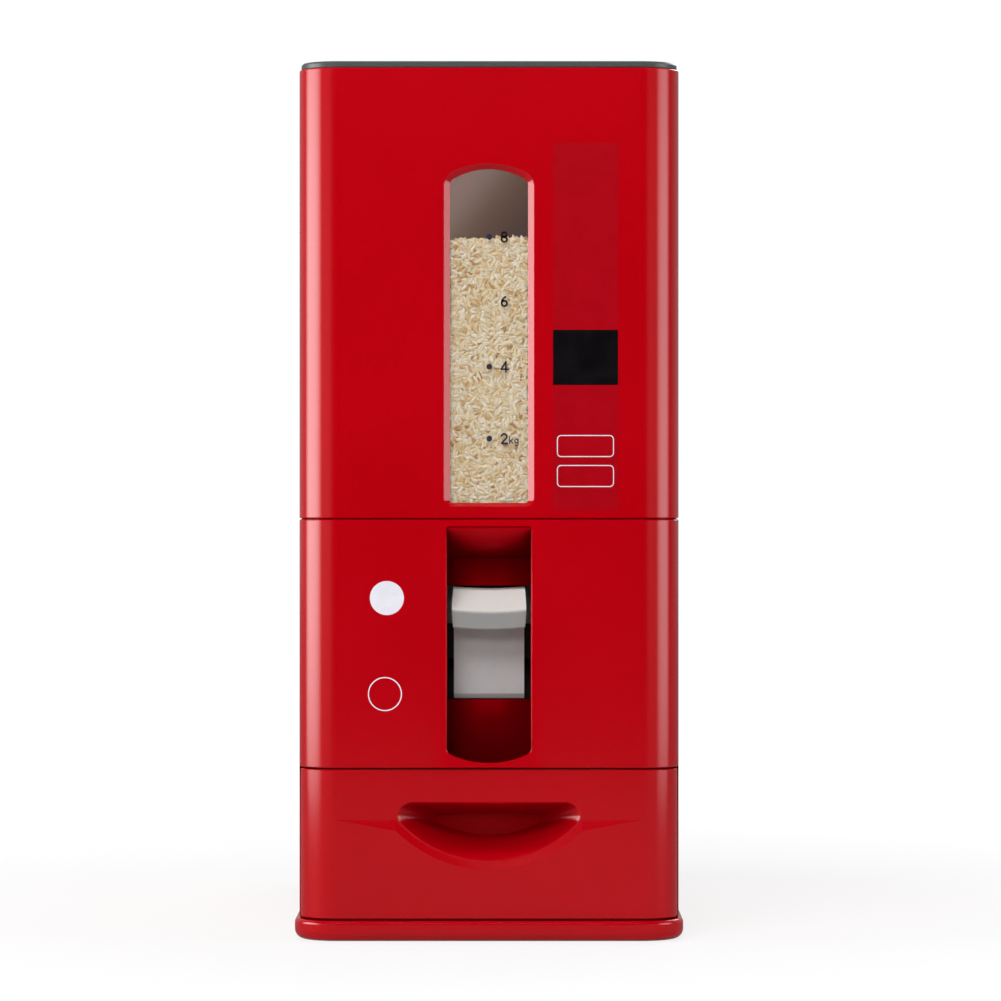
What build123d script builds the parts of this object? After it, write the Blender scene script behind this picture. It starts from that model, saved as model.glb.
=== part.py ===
from build123d import *
from math import acos, asin, cos, degrees, pi, radians, sin, sqrt, tan
import os

# Rice storage container. Millimetres, +Z up, the front faces -Y.
# The origin is the middle of the footprint, on the table.

# Casings
casing_width = 195.2
casing_depth = 374.0
corner_radius = 20.0
casing_wall = 2.4
running_gap = 0.3            # between pieces that slide past each other
snug_gap = 0.1               # between pieces that only have to go together
joined = 0.5                 # how far a rib or boss is sunk into its wall
seam_bevel = 0.5             # of the casings' outer edges at the seams

# Heights of the tiers, from the table up
foot_height = 0.4
base_height = 10.5
tier_gap = 0.8
drawer_front_height = 76.4
lower_height = 126.9         # the front of the lower casing
stack_gap = 0.6
upper_height = 230.2
lid_gap = 0.4
lid_thickness = 3.0

base_bottom = foot_height
base_top = base_bottom + base_height
drawer_bottom = base_top + tier_gap
drawer_top = drawer_bottom + drawer_front_height
lower_bottom = drawer_top + tier_gap
lower_top = lower_bottom + lower_height
upper_bottom = lower_top + stack_gap
upper_top = upper_bottom + upper_height
lid_bottom = upper_top + lid_gap
lid_top = lid_bottom + lid_thickness

half_width = casing_width / 2
half_depth = casing_depth / 2
inner_half_width = half_width - casing_wall
inner_half_depth = half_depth - casing_wall
front_face = -half_depth
front_inner = -inner_half_depth

# Base tray
base_margin = 2.4            # how far it stands proud of the casings
base_deck = 2.4
base_rim = 7.0
base_rib = 2.0
base_top_round = 2.0
base_bottom_round = 5.0
foot_radius = 9.0
foot_recess = 1.4
foot_wall = 2.0
foot_inset_x = 22.0          # from the side of the casing to the foot's centre
foot_inset_y = 24.0

# Screws
screw_radius = 1.5
screw_head_radius = 3.0
screw_head_height = 2.0
screw_clearance = 0.05
screw_sides = 8              # they are small, so drawn with flats
base_screw_reach = 24.0
base_boss_radius = 5.5
base_boss_height = 30.0
base_boss_inset_y = 37.0

# Stacking collar between the casings
collar_wall = 1.6
collar_rise = 4.6
collar_root = 10.0
bead_inset = 1.0             # of the bead that closes the seam, from the casings' outside
bead_clear = 0.1             # over that bead
ledge_width = 4.5
ledge_thickness = 3.0
lug_length = 12.0
lug_height = 6.0
lug_place = 60.0
lug_clear = 0.6

# Window of the upper casing
window_half_width = 20.0
window_bottom = 7.9          # above the bottom of the upper casing
window_height = 170.5
window_crown = 6.1           # rise of the arch at its top
window_bevel_side = 3.1
window_bevel_top = 2.6
window_bevel_bottom = 1.9
window_corner = 4.0          # of the opening, where the arch meets the sides
window_bevel_corner = 9.0    # of the bevel's outline, there
window_foot_corner = 1.6     # of the opening, at its bottom
window_bevel_foot = 4.6      # of the bevel's outline, at its bottom
window_edge_round = 0.6
pane_thickness = 2.0
pane_margin_side = 5.0
pane_margin_top = 4.2
pane_margin_bottom = 2.8
pane_corner = 3.0

# Rice tank and hopper
tank_gap = 4.85              # from the casing's inside to the tank
tank_wall = 1.8
tank_front_clear = 0.3       # from the pane to the tank
tank_floor_angle = 21.0
tank_rim_height = 1.6
tank_top_drop = 1.0          # below the top of the upper casing
tank_window_margin = 1.5
hopper_wall = 2.0
hopper_flange = 1.8
hopper_front_offset = 30.0   # from the casing's front to the mouth of the funnel
hopper_neck_top = 167.0
hopper_neck_length = 10.0
rice_level = 143.0           # top of the rice above the bottom of the upper casing
rice_gap = 0.2
rice_slope = 0.8             # degrees, across the top of the rice

# Lever well in the lower casing
well_half_width = 21.5
well_bottom = 2.5            # above the bottom of the lower casing's front
well_height = 120.5
well_depth = 20.0
well_sag = 5.3               # drop of the arc at its bottom
well_corner = 1.4
well_foot_round = 4.0        # where the sides meet the arc at the bottom
well_edge_bevel = 0.6
well_wall = 2.0
well_cove_height = 15.8
well_cove_bulge = 2.2
slot_bottom = 34.1           # above the bottom of the lower casing's front
slot_height = 58.8
panel_half_width = 19.7
panel_height = 14.3
panel_proud = 0.6

# Lever
lever_travel = 32.0
lever_gap = 0.6              # from the back of the well to the lever
lever_plate = 2.4
lever_half_width = 18.1
lever_bulge = 0.9            # each side of the lip swells by this
lever_bottom = 0.5           # above the bottom of the slot
lever_bevel_height = 2.6
lever_bevel_depth = 1.4
lip_drop = 0.4               # from the top of the slot to the top of the lip
lip_height = 21.0
lip_reach = 15.0
lip_face = 9.0               # height of the lip's front face
lip_sag = 1.1
lip_round = 2.6
lip_edge = 0.8
shield_clear = 2.5           # from the top of the lower casing to the top of the shield
shield_thickness = 1.6

# Lever carriage and its guides
carriage_thickness = 2.5
carriage_half_width = 51.0
carriage_height = 18.0
carriage_rise = 8.0          # of the carriage over the racks' engaged length
guide_wall = 2.0
guide_clear = 0.3
guide_overlap = 3.0
rack_inner = 44.2
rack_outer = 49.8
rack_margin = 6.0            # of rack beyond the point of mesh at each end
lever_screw_spread = 12.0
lever_skin = 0.6             # of the lever's face in front of its screw holes

# Springs
spring_radius = 5.0
spring_wire = 0.6
spring_place_x = 36.0
spring_place_y = 14.5        # behind the casing's front
spring_lug_thickness = 3.0
spring_seat_thickness = 3.0
spring_seat_bottom = 1.6     # above the bottom of the lower casing's front
spring_turns = 5
spring_sides = 3             # facets round the wire

# Metering drum
measure_volume = 179000.0    # cubic millimetres: 150 g of rice at 0.84 kg a litre
drum_inner_radius = 28.0
drum_wall = 2.0
drum_opening = 110.0         # degrees
drum_end_thickness = 2.0
drum_spigot = 2.0
drum_axis_y = 62.0           # behind the casing's front
drum_axis_z = 122.0
trunnion_radius = 5.0
bearing_clearance = 0.05
housing_gap = 0.6
housing_wall = 2.0
housing_side_gap = 0.3
cradle_leg_inset = 4.0       # from the housing's outside to its legs
throat_angle = 32.0          # half of the angle that the inlet and outlet span
throat_top = 166.0
neck_gap = 0.2
ear_reach = 9.0
ear_half_length = 30.0
ear_thickness = 3.2
ear_screw_spread = 22.0

# Rack and pinions
gear_module = 1.5
gear_teeth = 16
gear_addendum = 0.8          # in modules
gear_dedendum = 1.0
gear_pressure = radians(20.0)
gear_backlash = 0.3
rack_root_clear = 0.15       # under the pinion's teeth, past the backlash
pinion_inner = 44.0
pinion_outer = 50.0
flank_steps = 2

# Inner frame over the drawer
frame_top = 80.0
frame_thickness = 2.5
frame_front = 29.0           # behind the casing's front
frame_clear = 0.3
frame_ledge = 4.0

# Drawer
drawer_travel = 200.0
drawer_inset = 0.6           # its front lies this far inside the casings' outline
drawer_shell = 3.0
scoop_half_width = 46.5
scoop_top = 59.0             # above the bottom of the drawer front
scoop_shoulder = 51.6
scoop_bottom = 30.5
scoop_top_half = 39.0
scoop_corner = 6.0           # where the shoulders meet the arc below
scoop_depth = 18.4
scoop_back_half_width = 29.0
scoop_back_top = 53.0
scoop_back_shoulder = 49.6
scoop_back_bottom = 41.7
scoop_back_top_half = 24.0
scoop_back_crown = 1.2       # rise of the arc along the top of the back
scoop_back_corner = 2.0
scoop_wall = 2.0
scoop_edge_bevel = 0.8
recess_depth = 0.9           # of the face above the crease
recess_ledge = 1.6           # between the scoop and the slope below it
recess_slope = 3.6           # height of that slope
recess_drop = 5.6            # height of the slope beside the scoop
recess_crease = 50.6         # above the bottom of the drawer front
recess_end = 4.0             # from the scoop's side to where the recess starts to run out
box_side_clear = 12.7        # from the casing's inside to the drawer box
drawer_hold = 23.0           # of the box stays inside when it is pulled out
box_wall = 2.0
box_corner = 8.0
box_top = 76.0
box_front = 23.5             # behind the casing's front
runner_height = 1.0
runner_width = 8.0
runner_inset = 12.5          # from the side of the box
runner_clear = 0.2
drawer_boss_radius = 4.5
drawer_boss_inset = 16.5     # from the side of the box
drawer_boss_low = 14.6       # above the bottom of the drawer front
drawer_boss_high = 52.6
drawer_screw_reach = 10.0

# Lid
lid_inset = 1.0
lid_bevel = 1.0
skirt_gap = 0.8
skirt_wall = 1.6
skirt_depth = 8.9
lid_rib = 0.3                # clearance of the flap over the tank's rim
hinge_inset = 62.0           # from the rear of the casings to the pin
barrel_radius = 3.0
hinge_drop = 3.3             # from the top of the lid to the pin's axis
hinge_pin_radius = 1.25
hinge_clearance = 0.05
knuckle_start = 35.3
knuckle_end = 59.7
knuckle_gap = 0.3
pin_start = 25.0
pin_inset = 0.9              # from the end of the flap's barrel to the end of the pin
hinge_swing = 4.6            # from the pin to the front edge of the rear strip
ear_front = 4.9              # from the pin to the front of the strip's side ears
flap_edge = 6.0              # from the pin to the flap's edge beside those ears


def block(x_low, x_high, y_low, y_high, z_low, z_high):
    size = Box(x_high - x_low, y_high - y_low, z_high - z_low)
    return Pos((x_low + x_high) / 2, (y_low + y_high) / 2, (z_low + z_high) / 2) * size


def prism(half_x, y_low, y_high, radius, z_low, z_high):
    plan = RectangleRounded(2 * half_x, y_high - y_low, radius)
    return Pos(0, (y_low + y_high) / 2, z_low) * extrude(plan, amount=z_high - z_low)


def casing_prism(inset, z_low, z_high):
    radius = corner_radius - inset
    return prism(half_width - inset, -half_depth + inset, half_depth - inset, radius, z_low, z_high)


def rod(x, y, radius, z_low, z_high):
    return Pos(x, y, (z_low + z_high) / 2) * Cylinder(radius, z_high - z_low)


def rod_x(x_low, x_high, y, z, radius):
    bar = Rotation(0, 90, 0) * Cylinder(radius, x_high - x_low)
    return Pos((x_low + x_high) / 2, y, z) * bar


def rod_y(x, y_low, y_high, z, radius):
    bar = Rotation(90, 0, 0) * Cylinder(radius, y_high - y_low)
    return Pos(x, (y_low + y_high) / 2, z) * bar


def front_prism(outline, y_low, y_high):
    # An outline in X and Z, made solid between two depths
    return extrude(Plane.XZ.offset(-y_high) * outline, amount=y_high - y_low)


def side_prism(outline, x_low, x_high):
    # An outline in Y and Z, made solid between two widths
    return extrude(Plane.YZ.offset(x_low) * outline, amount=x_high - x_low)


def both_sides(piece):
    return piece + mirror(piece, about=Plane.YZ)


def arch_outline(half, bottom, top, crown, corner, top_corner):
    # Straight sides and foot, with an arc across the top
    spring = top - crown
    foot = Line((-half, bottom), (half, bottom))
    right = Line((half, bottom), (half, spring))
    arc = ThreePointArc((half, spring), (0, top), (-half, spring))
    left = Line((-half, spring), (-half, bottom))
    face = make_face([foot, right, arc, left])
    high = face.vertices().sort_by(Axis.Y)[-2:]
    face = fillet(high, top_corner)
    low = face.vertices().sort_by(Axis.Y)[:2]
    return fillet(low, corner)


def edges_on_face(shape, y, x_limit, z_low, z_high):
    # The edges that lie in one plane across Y, within a window
    margin = 0.05
    found = []
    for edge in shape.edges():
        box = edge.bounding_box()
        flat = abs(box.min.Y - y) < margin and abs(box.max.Y - y) < margin
        inside = max(abs(box.min.X), abs(box.max.X)) < x_limit + margin
        level = box.min.Z > z_low - margin and box.max.Z < z_high + margin
        if flat and inside and level:
            found.append(edge)
    return found


def edges_on_level(shape, z, y_high):
    # The outer edges that lie at one height, at the front
    found = []
    for edge in shape.edges():
        box = edge.bounding_box()
        outer = max(abs(box.min.X), abs(box.max.X)) > half_width - corner_radius - 1
        if abs(box.min.Z - z) < 0.05 and abs(box.max.Z - z) < 0.05 and box.max.Y < y_high + 0.05 and outer:
            found.append(edge)
    return found


def seamed_prism(inset, z_low, z_high):
    # A casing's outside, with its edges broken at both seams
    outer = casing_prism(inset, z_low, z_high)
    ends = outer.faces().sort_by(Axis.Z)[0].edges() + outer.faces().sort_by(Axis.Z)[-1].edges()
    return chamfer(ends, seam_bevel)


# Screws and their holes

forward = Rotation(90, 0, 0)     # turns what points up so that it points to the front


def screw(length, head_height=screw_head_height):
    # Its head lies below the XY plane and its shank stands on it
    head = extrude(RegularPolygon(screw_head_radius, screw_sides), amount=-head_height)
    return head + extrude(RegularPolygon(screw_radius, screw_sides), amount=length)


def screw_hole(length, radius=screw_radius):
    return extrude(RegularPolygon(radius + screw_clearance, screw_sides), amount=length)


# Base tray

def screw_places():
    x = inner_half_width - base_boss_radius + snug_gap
    y = half_depth - base_boss_inset_y
    return [(x, -y), (-x, -y), (x, y), (-x, y)]


def foot_places():
    x = half_width - foot_inset_x
    y = half_depth - foot_inset_y
    return [(x, -y), (-x, -y), (x, y), (-x, y)]


def base_tray():
    tray = casing_prism(-base_margin, base_bottom, base_top)
    tray = fillet(tray.faces().sort_by(Axis.Z)[-1].edges(), base_top_round)
    tray = fillet(tray.faces().sort_by(Axis.Z)[0].edges(), base_bottom_round)
    pocket_top = base_top - base_deck
    pocket = casing_prism(base_rim - base_margin, base_bottom - 1, pocket_top)
    ribs = block(-base_rib / 2, base_rib / 2, -half_depth, half_depth, base_bottom, base_top)
    for y in (-half_depth / 3, half_depth / 3):
        ribs += block(-half_width, half_width, y - base_rib / 2, y + base_rib / 2, base_bottom, base_top)
    tray -= pocket - ribs
    for x, y in foot_places():
        tray += rod(x, y, foot_radius + foot_wall, base_bottom, base_top)
        tray -= rod(x, y, foot_radius, base_bottom, base_bottom + foot_recess)
    for x, y in screw_places():
        tray -= Pos(x, y, pocket_top) * screw_hole(base_deck)
    return tray


def rubber_feet():
    return Compound([rod(x, y, foot_radius, 0, base_bottom + foot_recess) for x, y in foot_places()])


def base_screws():
    seat = base_top - base_deck
    length = base_deck + base_screw_reach
    return Compound([Pos(x, y, seat) * screw(length) for x, y in screw_places()])


# Lower casing

well_low = lower_bottom + well_bottom
well_top = well_low + well_height
well_back = front_face + well_depth
well_rear = well_back + well_wall
slot_low = lower_bottom + slot_bottom
slot_high = slot_low + slot_height
lever_front = well_rear + lever_gap
lever_rear = lever_front + lever_plate
carriage_rear = lever_rear + carriage_thickness
carriage_top = drum_axis_z + lever_travel + carriage_rise
spring_y = front_face + spring_place_y
spring_low = lower_bottom + spring_seat_bottom + spring_seat_thickness


def well_outline(grow):
    half = well_half_width + grow
    low = well_low - grow
    high = well_top + grow
    shoulder = low + well_sag
    arc = ThreePointArc((-half, shoulder), (0, low), (half, shoulder))
    right = Line((half, shoulder), (half, high))
    lid = Line((half, high), (-half, high))
    left = Line((-half, high), (-half, shoulder))
    face = make_face([arc, right, lid, left])
    face = fillet(face.vertices().sort_by(Axis.Y)[-2:], well_corner + grow)
    feet = face.vertices().filter_by(lambda v: abs(v.Y - shoulder) < joined)
    return fillet(feet, well_foot_round + grow)


def well_section(grow):
    # Seen from the side: the ceiling rolls from the front face down to the back wall
    back = well_back + grow
    high = well_top + grow
    low = well_low - grow - 1
    front = front_face - 1
    roll_low = well_top - well_cove_height + grow
    middle = ((front_face + back) / 2 - well_cove_bulge / 2, (high + roll_low) / 2 - well_cove_bulge)
    sides = [
        Line((front, low), (back, low)),
        Line((back, low), (back, roll_low)),
        ThreePointArc((back, roll_low), middle, (front_face, high)),
        Line((front_face, high), (front, high)),
        Line((front, high), (front, low)),
    ]
    return make_face(sides)


def well_solid(grow):
    across = well_half_width + grow + 1
    tunnel = front_prism(well_outline(grow), front_face - 1, well_back + grow)
    return tunnel & side_prism(well_section(grow), -across, across)


def well_edge():
    rim = [Plane.XZ.offset(-front_face) * well_outline(well_edge_bevel),
           Plane.XZ.offset(-(front_face + well_edge_bevel)) * well_outline(0)]
    return loft(rim, ruled=True)


def carriage_guides():
    top = lower_top - collar_root
    low = lower_bottom
    inner = carriage_half_width + guide_clear
    front_lip = lever_rear - guide_clear
    rear_lip = carriage_rear + guide_clear
    wall = block(inner, inner + guide_wall, front_inner - 1, rear_lip + guide_wall, low, top)
    wall += block(inner - guide_overlap, inner + 1, front_lip - guide_wall, front_lip, low, top)
    wall += block(rack_outer + guide_clear, inner + 1, rear_lip, rear_lip + guide_wall, low, top)
    return both_sides(wall)


def spring_seats():
    reach = spring_radius + spring_wire + 1
    low = spring_low - spring_seat_thickness
    x = spring_place_x
    return both_sides(block(x - reach, x + reach, front_inner - 1, spring_y + reach, low, spring_low))


def lower_casing():
    shell = seamed_prism(0, base_top, lower_top) - casing_prism(casing_wall, base_top - 1, lower_top + 1)
    corner_end = front_face + corner_radius
    shell -= block(-half_width - 1, half_width + 1, front_face - 1, corner_end, base_top - 1, lower_bottom)
    lip = edges_on_level(shell, lower_bottom, corner_end)
    shell = chamfer(lip, seam_bevel)
    collar_top = lower_top + collar_rise
    collar_outer = casing_wall + running_gap
    shell += casing_prism(casing_wall - joined, lower_top - collar_root, lower_top) - casing_prism(
        collar_outer + collar_wall, lower_top - collar_root - 1, lower_top + 1)
    shell += casing_prism(collar_outer, lower_top - 1, collar_top) - casing_prism(
        collar_outer + collar_wall, lower_top - 2, collar_top + 1)
    shell += casing_prism(bead_inset, lower_top - joined, lower_top + stack_gap - bead_clear) - casing_prism(
        casing_wall, lower_top - 1, lower_top + stack_gap)
    ledge_top = lower_top - hopper_flange
    shell += casing_prism(casing_wall - joined, ledge_top - ledge_thickness, ledge_top) - casing_prism(
        casing_wall + ledge_width, ledge_top - ledge_thickness - 1, ledge_top + 1)
    shell += well_solid(well_wall) & block(
        -half_width, half_width, front_face + casing_wall / 2, well_rear, lower_bottom, ledge_top)
    shell -= well_solid(0)
    panel_low = slot_high
    shell += block(-panel_half_width, panel_half_width, well_back - panel_proud, well_back + joined,
                   panel_low, panel_low + panel_height)
    shell -= block(-well_half_width, well_half_width, well_back - 1, well_rear + 1, slot_low, slot_high)
    shell += carriage_guides() + spring_seats()
    rail_top = frame_top - frame_thickness
    rail_front = corner_end + casing_wall
    rail = block(inner_half_width - frame_ledge, inner_half_width + joined, rail_front,
                 half_depth - corner_radius, rail_top - frame_thickness, rail_top)
    shell += both_sides(rail)
    for x, y in screw_places():
        shell += rod(x, y, base_boss_radius, base_top, base_top + base_boss_height)
        shell -= Pos(x, y, base_top) * screw_hole(base_screw_reach + 1)
    return shell - well_edge()


# Inner frame and drum housing

axis_y = front_face + drum_axis_y
axis_z = drum_axis_z
drum_outer_radius = drum_inner_radius + drum_wall
drum_half_length = measure_volume / (pi * drum_inner_radius ** 2) / 2
drum_end = drum_half_length + drum_end_thickness
housing_inner_radius = drum_outer_radius + housing_gap
housing_outer_radius = housing_inner_radius + housing_wall
housing_inner = drum_end + housing_side_gap
housing_outer = housing_inner + housing_wall
throat_half = housing_inner_radius * sin(radians(throat_angle))
throat_outer = throat_half + housing_wall
neck_inner_x = housing_outer + neck_gap
neck_inner_y = throat_outer + neck_gap


def inner_frame():
    low = frame_top - frame_thickness
    inset = casing_wall + frame_clear
    plate = casing_prism(inset, low, frame_top)
    plate -= block(-half_width, half_width, front_face - 1, front_face + frame_front, low - 1, frame_top + 1)
    plate -= block(-housing_inner, housing_inner, axis_y - throat_half, axis_y + throat_half,
                   low - 1, frame_top + 1)
    return plate


def half_housing(z_low, z_high):
    # The drum's round shell and end walls, kept between two heights
    shell = rod_x(-housing_outer, housing_outer, axis_y, axis_z, housing_outer_radius)
    shell -= rod_x(-housing_inner, housing_inner, axis_y, axis_z, housing_inner_radius)
    keep = block(-half_width, half_width, axis_y - half_depth, axis_y + half_depth, z_low, z_high)
    return shell & keep


def housing_ear(z_low, z_high):
    rear = axis_y + housing_outer_radius
    return block(-ear_half_length, ear_half_length, rear - housing_wall / 2, rear + ear_reach, z_low, z_high)


def ear_screw_y():
    return axis_y + housing_outer_radius + ear_reach / 2


def meter_housing():
    half = half_housing(axis_z, throat_top)
    top = axis_z + housing_inner_radius * cos(radians(throat_angle))
    cup = block(-housing_outer, housing_outer, axis_y - throat_outer, axis_y + throat_outer, top, throat_top)
    bore = block(-housing_inner, housing_inner, axis_y - throat_half, axis_y + throat_half,
                 axis_z + drum_inner_radius / 2, throat_top + 1)
    drum_space = rod_x(-housing_inner, housing_inner, axis_y, axis_z, housing_inner_radius)
    half = half + (cup - drum_space) - bore
    half += housing_ear(axis_z, axis_z + ear_thickness) - drum_space
    half -= rod_x(-housing_outer - 1, housing_outer + 1, axis_y, axis_z, trunnion_radius + bearing_clearance)
    for x in (-ear_screw_spread, ear_screw_spread):
        half -= Pos(x, ear_screw_y(), axis_z - 1) * screw_hole(ear_thickness + 2)
    return half


def meter_cradle():
    half = half_housing(frame_top, axis_z)
    low = axis_z - housing_inner_radius * cos(radians(throat_angle))
    chute = block(-housing_outer, housing_outer, axis_y - throat_outer, axis_y + throat_outer, frame_top, low)
    leg_front = axis_y - housing_outer_radius + cradle_leg_inset
    leg_rear = axis_y + housing_outer_radius - cradle_leg_inset
    legs = both_sides(block(housing_inner, housing_outer, leg_front, leg_rear, frame_top,
                            axis_z - trunnion_radius))
    bore = block(-housing_inner, housing_inner, axis_y - throat_half, axis_y + throat_half,
                 frame_top - 1, axis_z - drum_inner_radius / 2)
    drum_space = rod_x(-housing_inner, housing_inner, axis_y, axis_z, housing_inner_radius)
    half = half + (chute - drum_space) + legs - bore
    half += housing_ear(axis_z - ear_thickness, axis_z) - drum_space
    half -= rod_x(-housing_outer - 1, housing_outer + 1, axis_y, axis_z, trunnion_radius + bearing_clearance)
    for x in (-ear_screw_spread, ear_screw_spread):
        half -= Pos(x, ear_screw_y(), axis_z - ear_thickness - 1) * screw_hole(ear_thickness + 2)
    return half


def housing_screws():
    pointing_down = Rotation(180, 0, 0) * screw(2 * ear_thickness)
    seat = axis_z + ear_thickness
    places = [(x, ear_screw_y()) for x in (-ear_screw_spread, ear_screw_spread)]
    return Compound([Pos(x, y, seat) * pointing_down for x, y in places])


# Metering drum

def metering_drum():
    tube = rod_x(-drum_half_length, drum_half_length, axis_y, axis_z, drum_outer_radius)
    tube -= rod_x(-drum_half_length, drum_half_length, axis_y, axis_z, drum_inner_radius)
    reach = 2 * drum_outer_radius
    side = reach * tan(radians(drum_opening / 2))
    mouth = Polyline((axis_y, axis_z), (axis_y - side, axis_z + reach), (axis_y + side, axis_z + reach),
                     (axis_y, axis_z))
    return tube - side_prism(make_face(mouth), -drum_half_length, drum_half_length)


def tooth_half_angle(radius):
    # Half of a pinion tooth's angle at a radius, on an involute flank
    pitch = gear_module * gear_teeth / 2
    base = pitch * cos(gear_pressure)
    at_pitch = pi / (2 * gear_teeth)
    angle = acos(min(1.0, base / radius))
    return at_pitch + (tan(gear_pressure) - gear_pressure) - (tan(angle) - angle)


def pinion_outline():
    pitch = gear_module * gear_teeth / 2
    base = pitch * cos(gear_pressure)
    root = pitch - gear_module * gear_dedendum
    tip = pitch + gear_module * gear_addendum
    flank = [root] + [base + (tip - base) * step / flank_steps for step in range(flank_steps + 1)]
    points = []
    for tooth in range(gear_teeth):
        middle = pi + tooth * 2 * pi / gear_teeth
        rising = [(radius, middle - tooth_half_angle(max(radius, base))) for radius in flank]
        falling = [(radius, middle + tooth_half_angle(max(radius, base))) for radius in reversed(flank)]
        points += [(radius * cos(angle), radius * sin(angle)) for radius, angle in rising + falling]
    return Polyline(*points, close=True)


def drum_cap():
    cap = rod_x(drum_half_length, drum_end, axis_y, axis_z, drum_outer_radius)
    spigot = rod_x(drum_half_length - drum_spigot, drum_half_length, axis_y, axis_z,
                   drum_inner_radius - snug_gap)
    cap += spigot
    cap += rod_x(drum_end, pinion_outer, axis_y, axis_z, trunnion_radius)
    gear = Pos(0, axis_y, axis_z) * side_prism(make_face(pinion_outline()), pinion_inner, pinion_outer)
    return cap + gear


# Lever, carriage and springs

lever_low = slot_low + lever_bottom
shield_top = lower_top - shield_clear
lip_top = slot_high - lip_drop
lever_high = lip_top - 2 * lip_sag


def lip_outline():
    # Section of the lip at the lever's middle, in Y and Z
    back = lever_front + lever_plate / 2
    nose = lever_front - lip_reach
    low = lip_top - lip_height
    shoulder = low + lip_face
    face = make_face(Polyline(
        (back, lip_top), (lever_front, lip_top), (nose, shoulder), (nose + lip_edge, low),
        (back, low + lip_edge), (back, lip_top)))
    front = face.vertices().sort_by(Axis.X)[:2].sort_by(Axis.Y)
    face = fillet(front[1:], lip_round)
    low_edge = face.vertices().filter_by(lambda v: v.Y < low + lip_edge / 2)
    return fillet(low_edge, lip_edge)


def measuring_lever():
    plate = block(-lever_half_width, lever_half_width, lever_front, lever_rear, lever_low, lever_high)
    bevel = make_face(Polyline(
        (lever_front - 1, lever_low - 1), (lever_front + lever_bevel_depth, lever_low - 1),
        (lever_front + lever_bevel_depth, lever_low), (lever_front, lever_low + lever_bevel_height),
        (lever_front - 1, lever_low + lever_bevel_height), (lever_front - 1, lever_low - 1)))
    plate -= side_prism(bevel, -lever_half_width, lever_half_width)
    swing = (lever_half_width ** 2 + lip_sag ** 2) / (2 * lip_sag)
    centre = lip_top - lip_sag + swing
    spread = 2 * degrees(asin((lever_half_width + 2 * lever_bulge) / swing))
    section = Plane.YZ * (Pos(0, -lip_sag) * lip_outline())
    pivot = Axis((0, 0, centre), (0, 1, 0))
    lip = revolve(section.rotate(pivot, -spread / 2), pivot, spread)
    low = lip_top - lip_height - 2 * lip_sag
    top = lip_top + 1
    half = lever_half_width
    middle = low + 0.6 * (top - low)
    sides = [
        ThreePointArc((half, low), (half + lever_bulge, middle), (half, top)),
        Line((half, top), (-half, top)),
        ThreePointArc((-half, top), (-half - lever_bulge, middle), (-half, low)),
        Line((-half, low), (half, low)),
    ]
    lip &= front_prism(make_face(sides), lever_front - lip_reach - 1, lever_rear)
    lever = plate + lip
    for x in (-lever_screw_spread, lever_screw_spread):
        for z in lever_screw_heights():
            lever -= Pos(x, lever_rear, z) * forward * screw_hole(lever_plate - lever_skin)
    return lever


def lever_screw_heights():
    return (carriage_top - 0.25 * carriage_height, carriage_top - 0.75 * carriage_height)


def rack_tooth():
    # One rack tooth in Y and Z about its pitch point, pointing to the pinion
    quarter = pi * gear_module / 4 - gear_backlash / 2
    out = gear_module * gear_addendum
    down = out + gear_backlash + rack_root_clear
    tip = quarter - out * tan(gear_pressure)
    root = quarter + down * tan(gear_pressure)
    return Polyline((-down, -root), (out, -tip), (out, tip), (-down, root), close=True)


def lever_carriage():
    low = carriage_top - carriage_height
    bar = block(-carriage_half_width, carriage_half_width, lever_rear, carriage_rear, low, carriage_top)
    pitch_radius = gear_module * gear_teeth / 2
    pitch_y = axis_y - pitch_radius
    root_y = pitch_y - gear_module * gear_addendum - gear_backlash - rack_root_clear
    rack_low = axis_z - rack_margin
    step = pi * gear_module
    bar += block(-lever_half_width, lever_half_width, lever_rear, lever_rear + shield_thickness,
                 carriage_top - joined, shield_top)
    arm = block(rack_inner, rack_outer, lever_rear + carriage_thickness / 2, root_y, rack_low, carriage_top)
    count = int((carriage_top - axis_z) / step)
    for index in range(-1, count):
        z = axis_z + (index + 0.5) * step
        tooth = side_prism(make_face(rack_tooth()), rack_inner, rack_outer)
        arm += Pos(0, pitch_y, z) * tooth
    reach = spring_radius + spring_wire + joined
    x = spring_place_x
    lug_top = carriage_top - carriage_height / 2
    arm += block(x - reach, x + reach, spring_y - reach, lever_rear + carriage_thickness / 2,
                 lug_top - spring_lug_thickness, lug_top)
    bar += both_sides(arm)
    for x in (-lever_screw_spread, lever_screw_spread):
        for z in lever_screw_heights():
            outside = Pos(x, carriage_rear + 1, z) * forward
            bar -= outside * screw_hole(carriage_thickness + 2)
            bar -= outside * screw_hole(1 + screw_head_height / 2, screw_head_radius)
    return bar


def lever_screws():
    sunk = screw_head_height / 2
    seat = carriage_rear - sunk
    pointing_forward = forward * screw(seat - lever_front - lever_skin, sunk)
    places = [(x, z) for x in (-lever_screw_spread, lever_screw_spread) for z in lever_screw_heights()]
    return Compound([Pos(x, seat, z) * pointing_forward for x, z in places])


def return_springs():
    top = carriage_top - carriage_height / 2 - spring_lug_thickness
    low = spring_low + spring_wire
    height = top - spring_wire - low
    path = Helix(pitch=height / spring_turns, height=height, radius=spring_radius)
    section = Plane(path @ 0, z_dir=path % 0) * RegularPolygon(spring_wire, spring_sides)
    coil = sweep(section, path=path, is_frenet=True)
    coils = [Pos(x, spring_y, low) * coil for x in (-spring_place_x, spring_place_x)]
    return Compound(coils)


# Hopper, tank, rice and window

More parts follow.
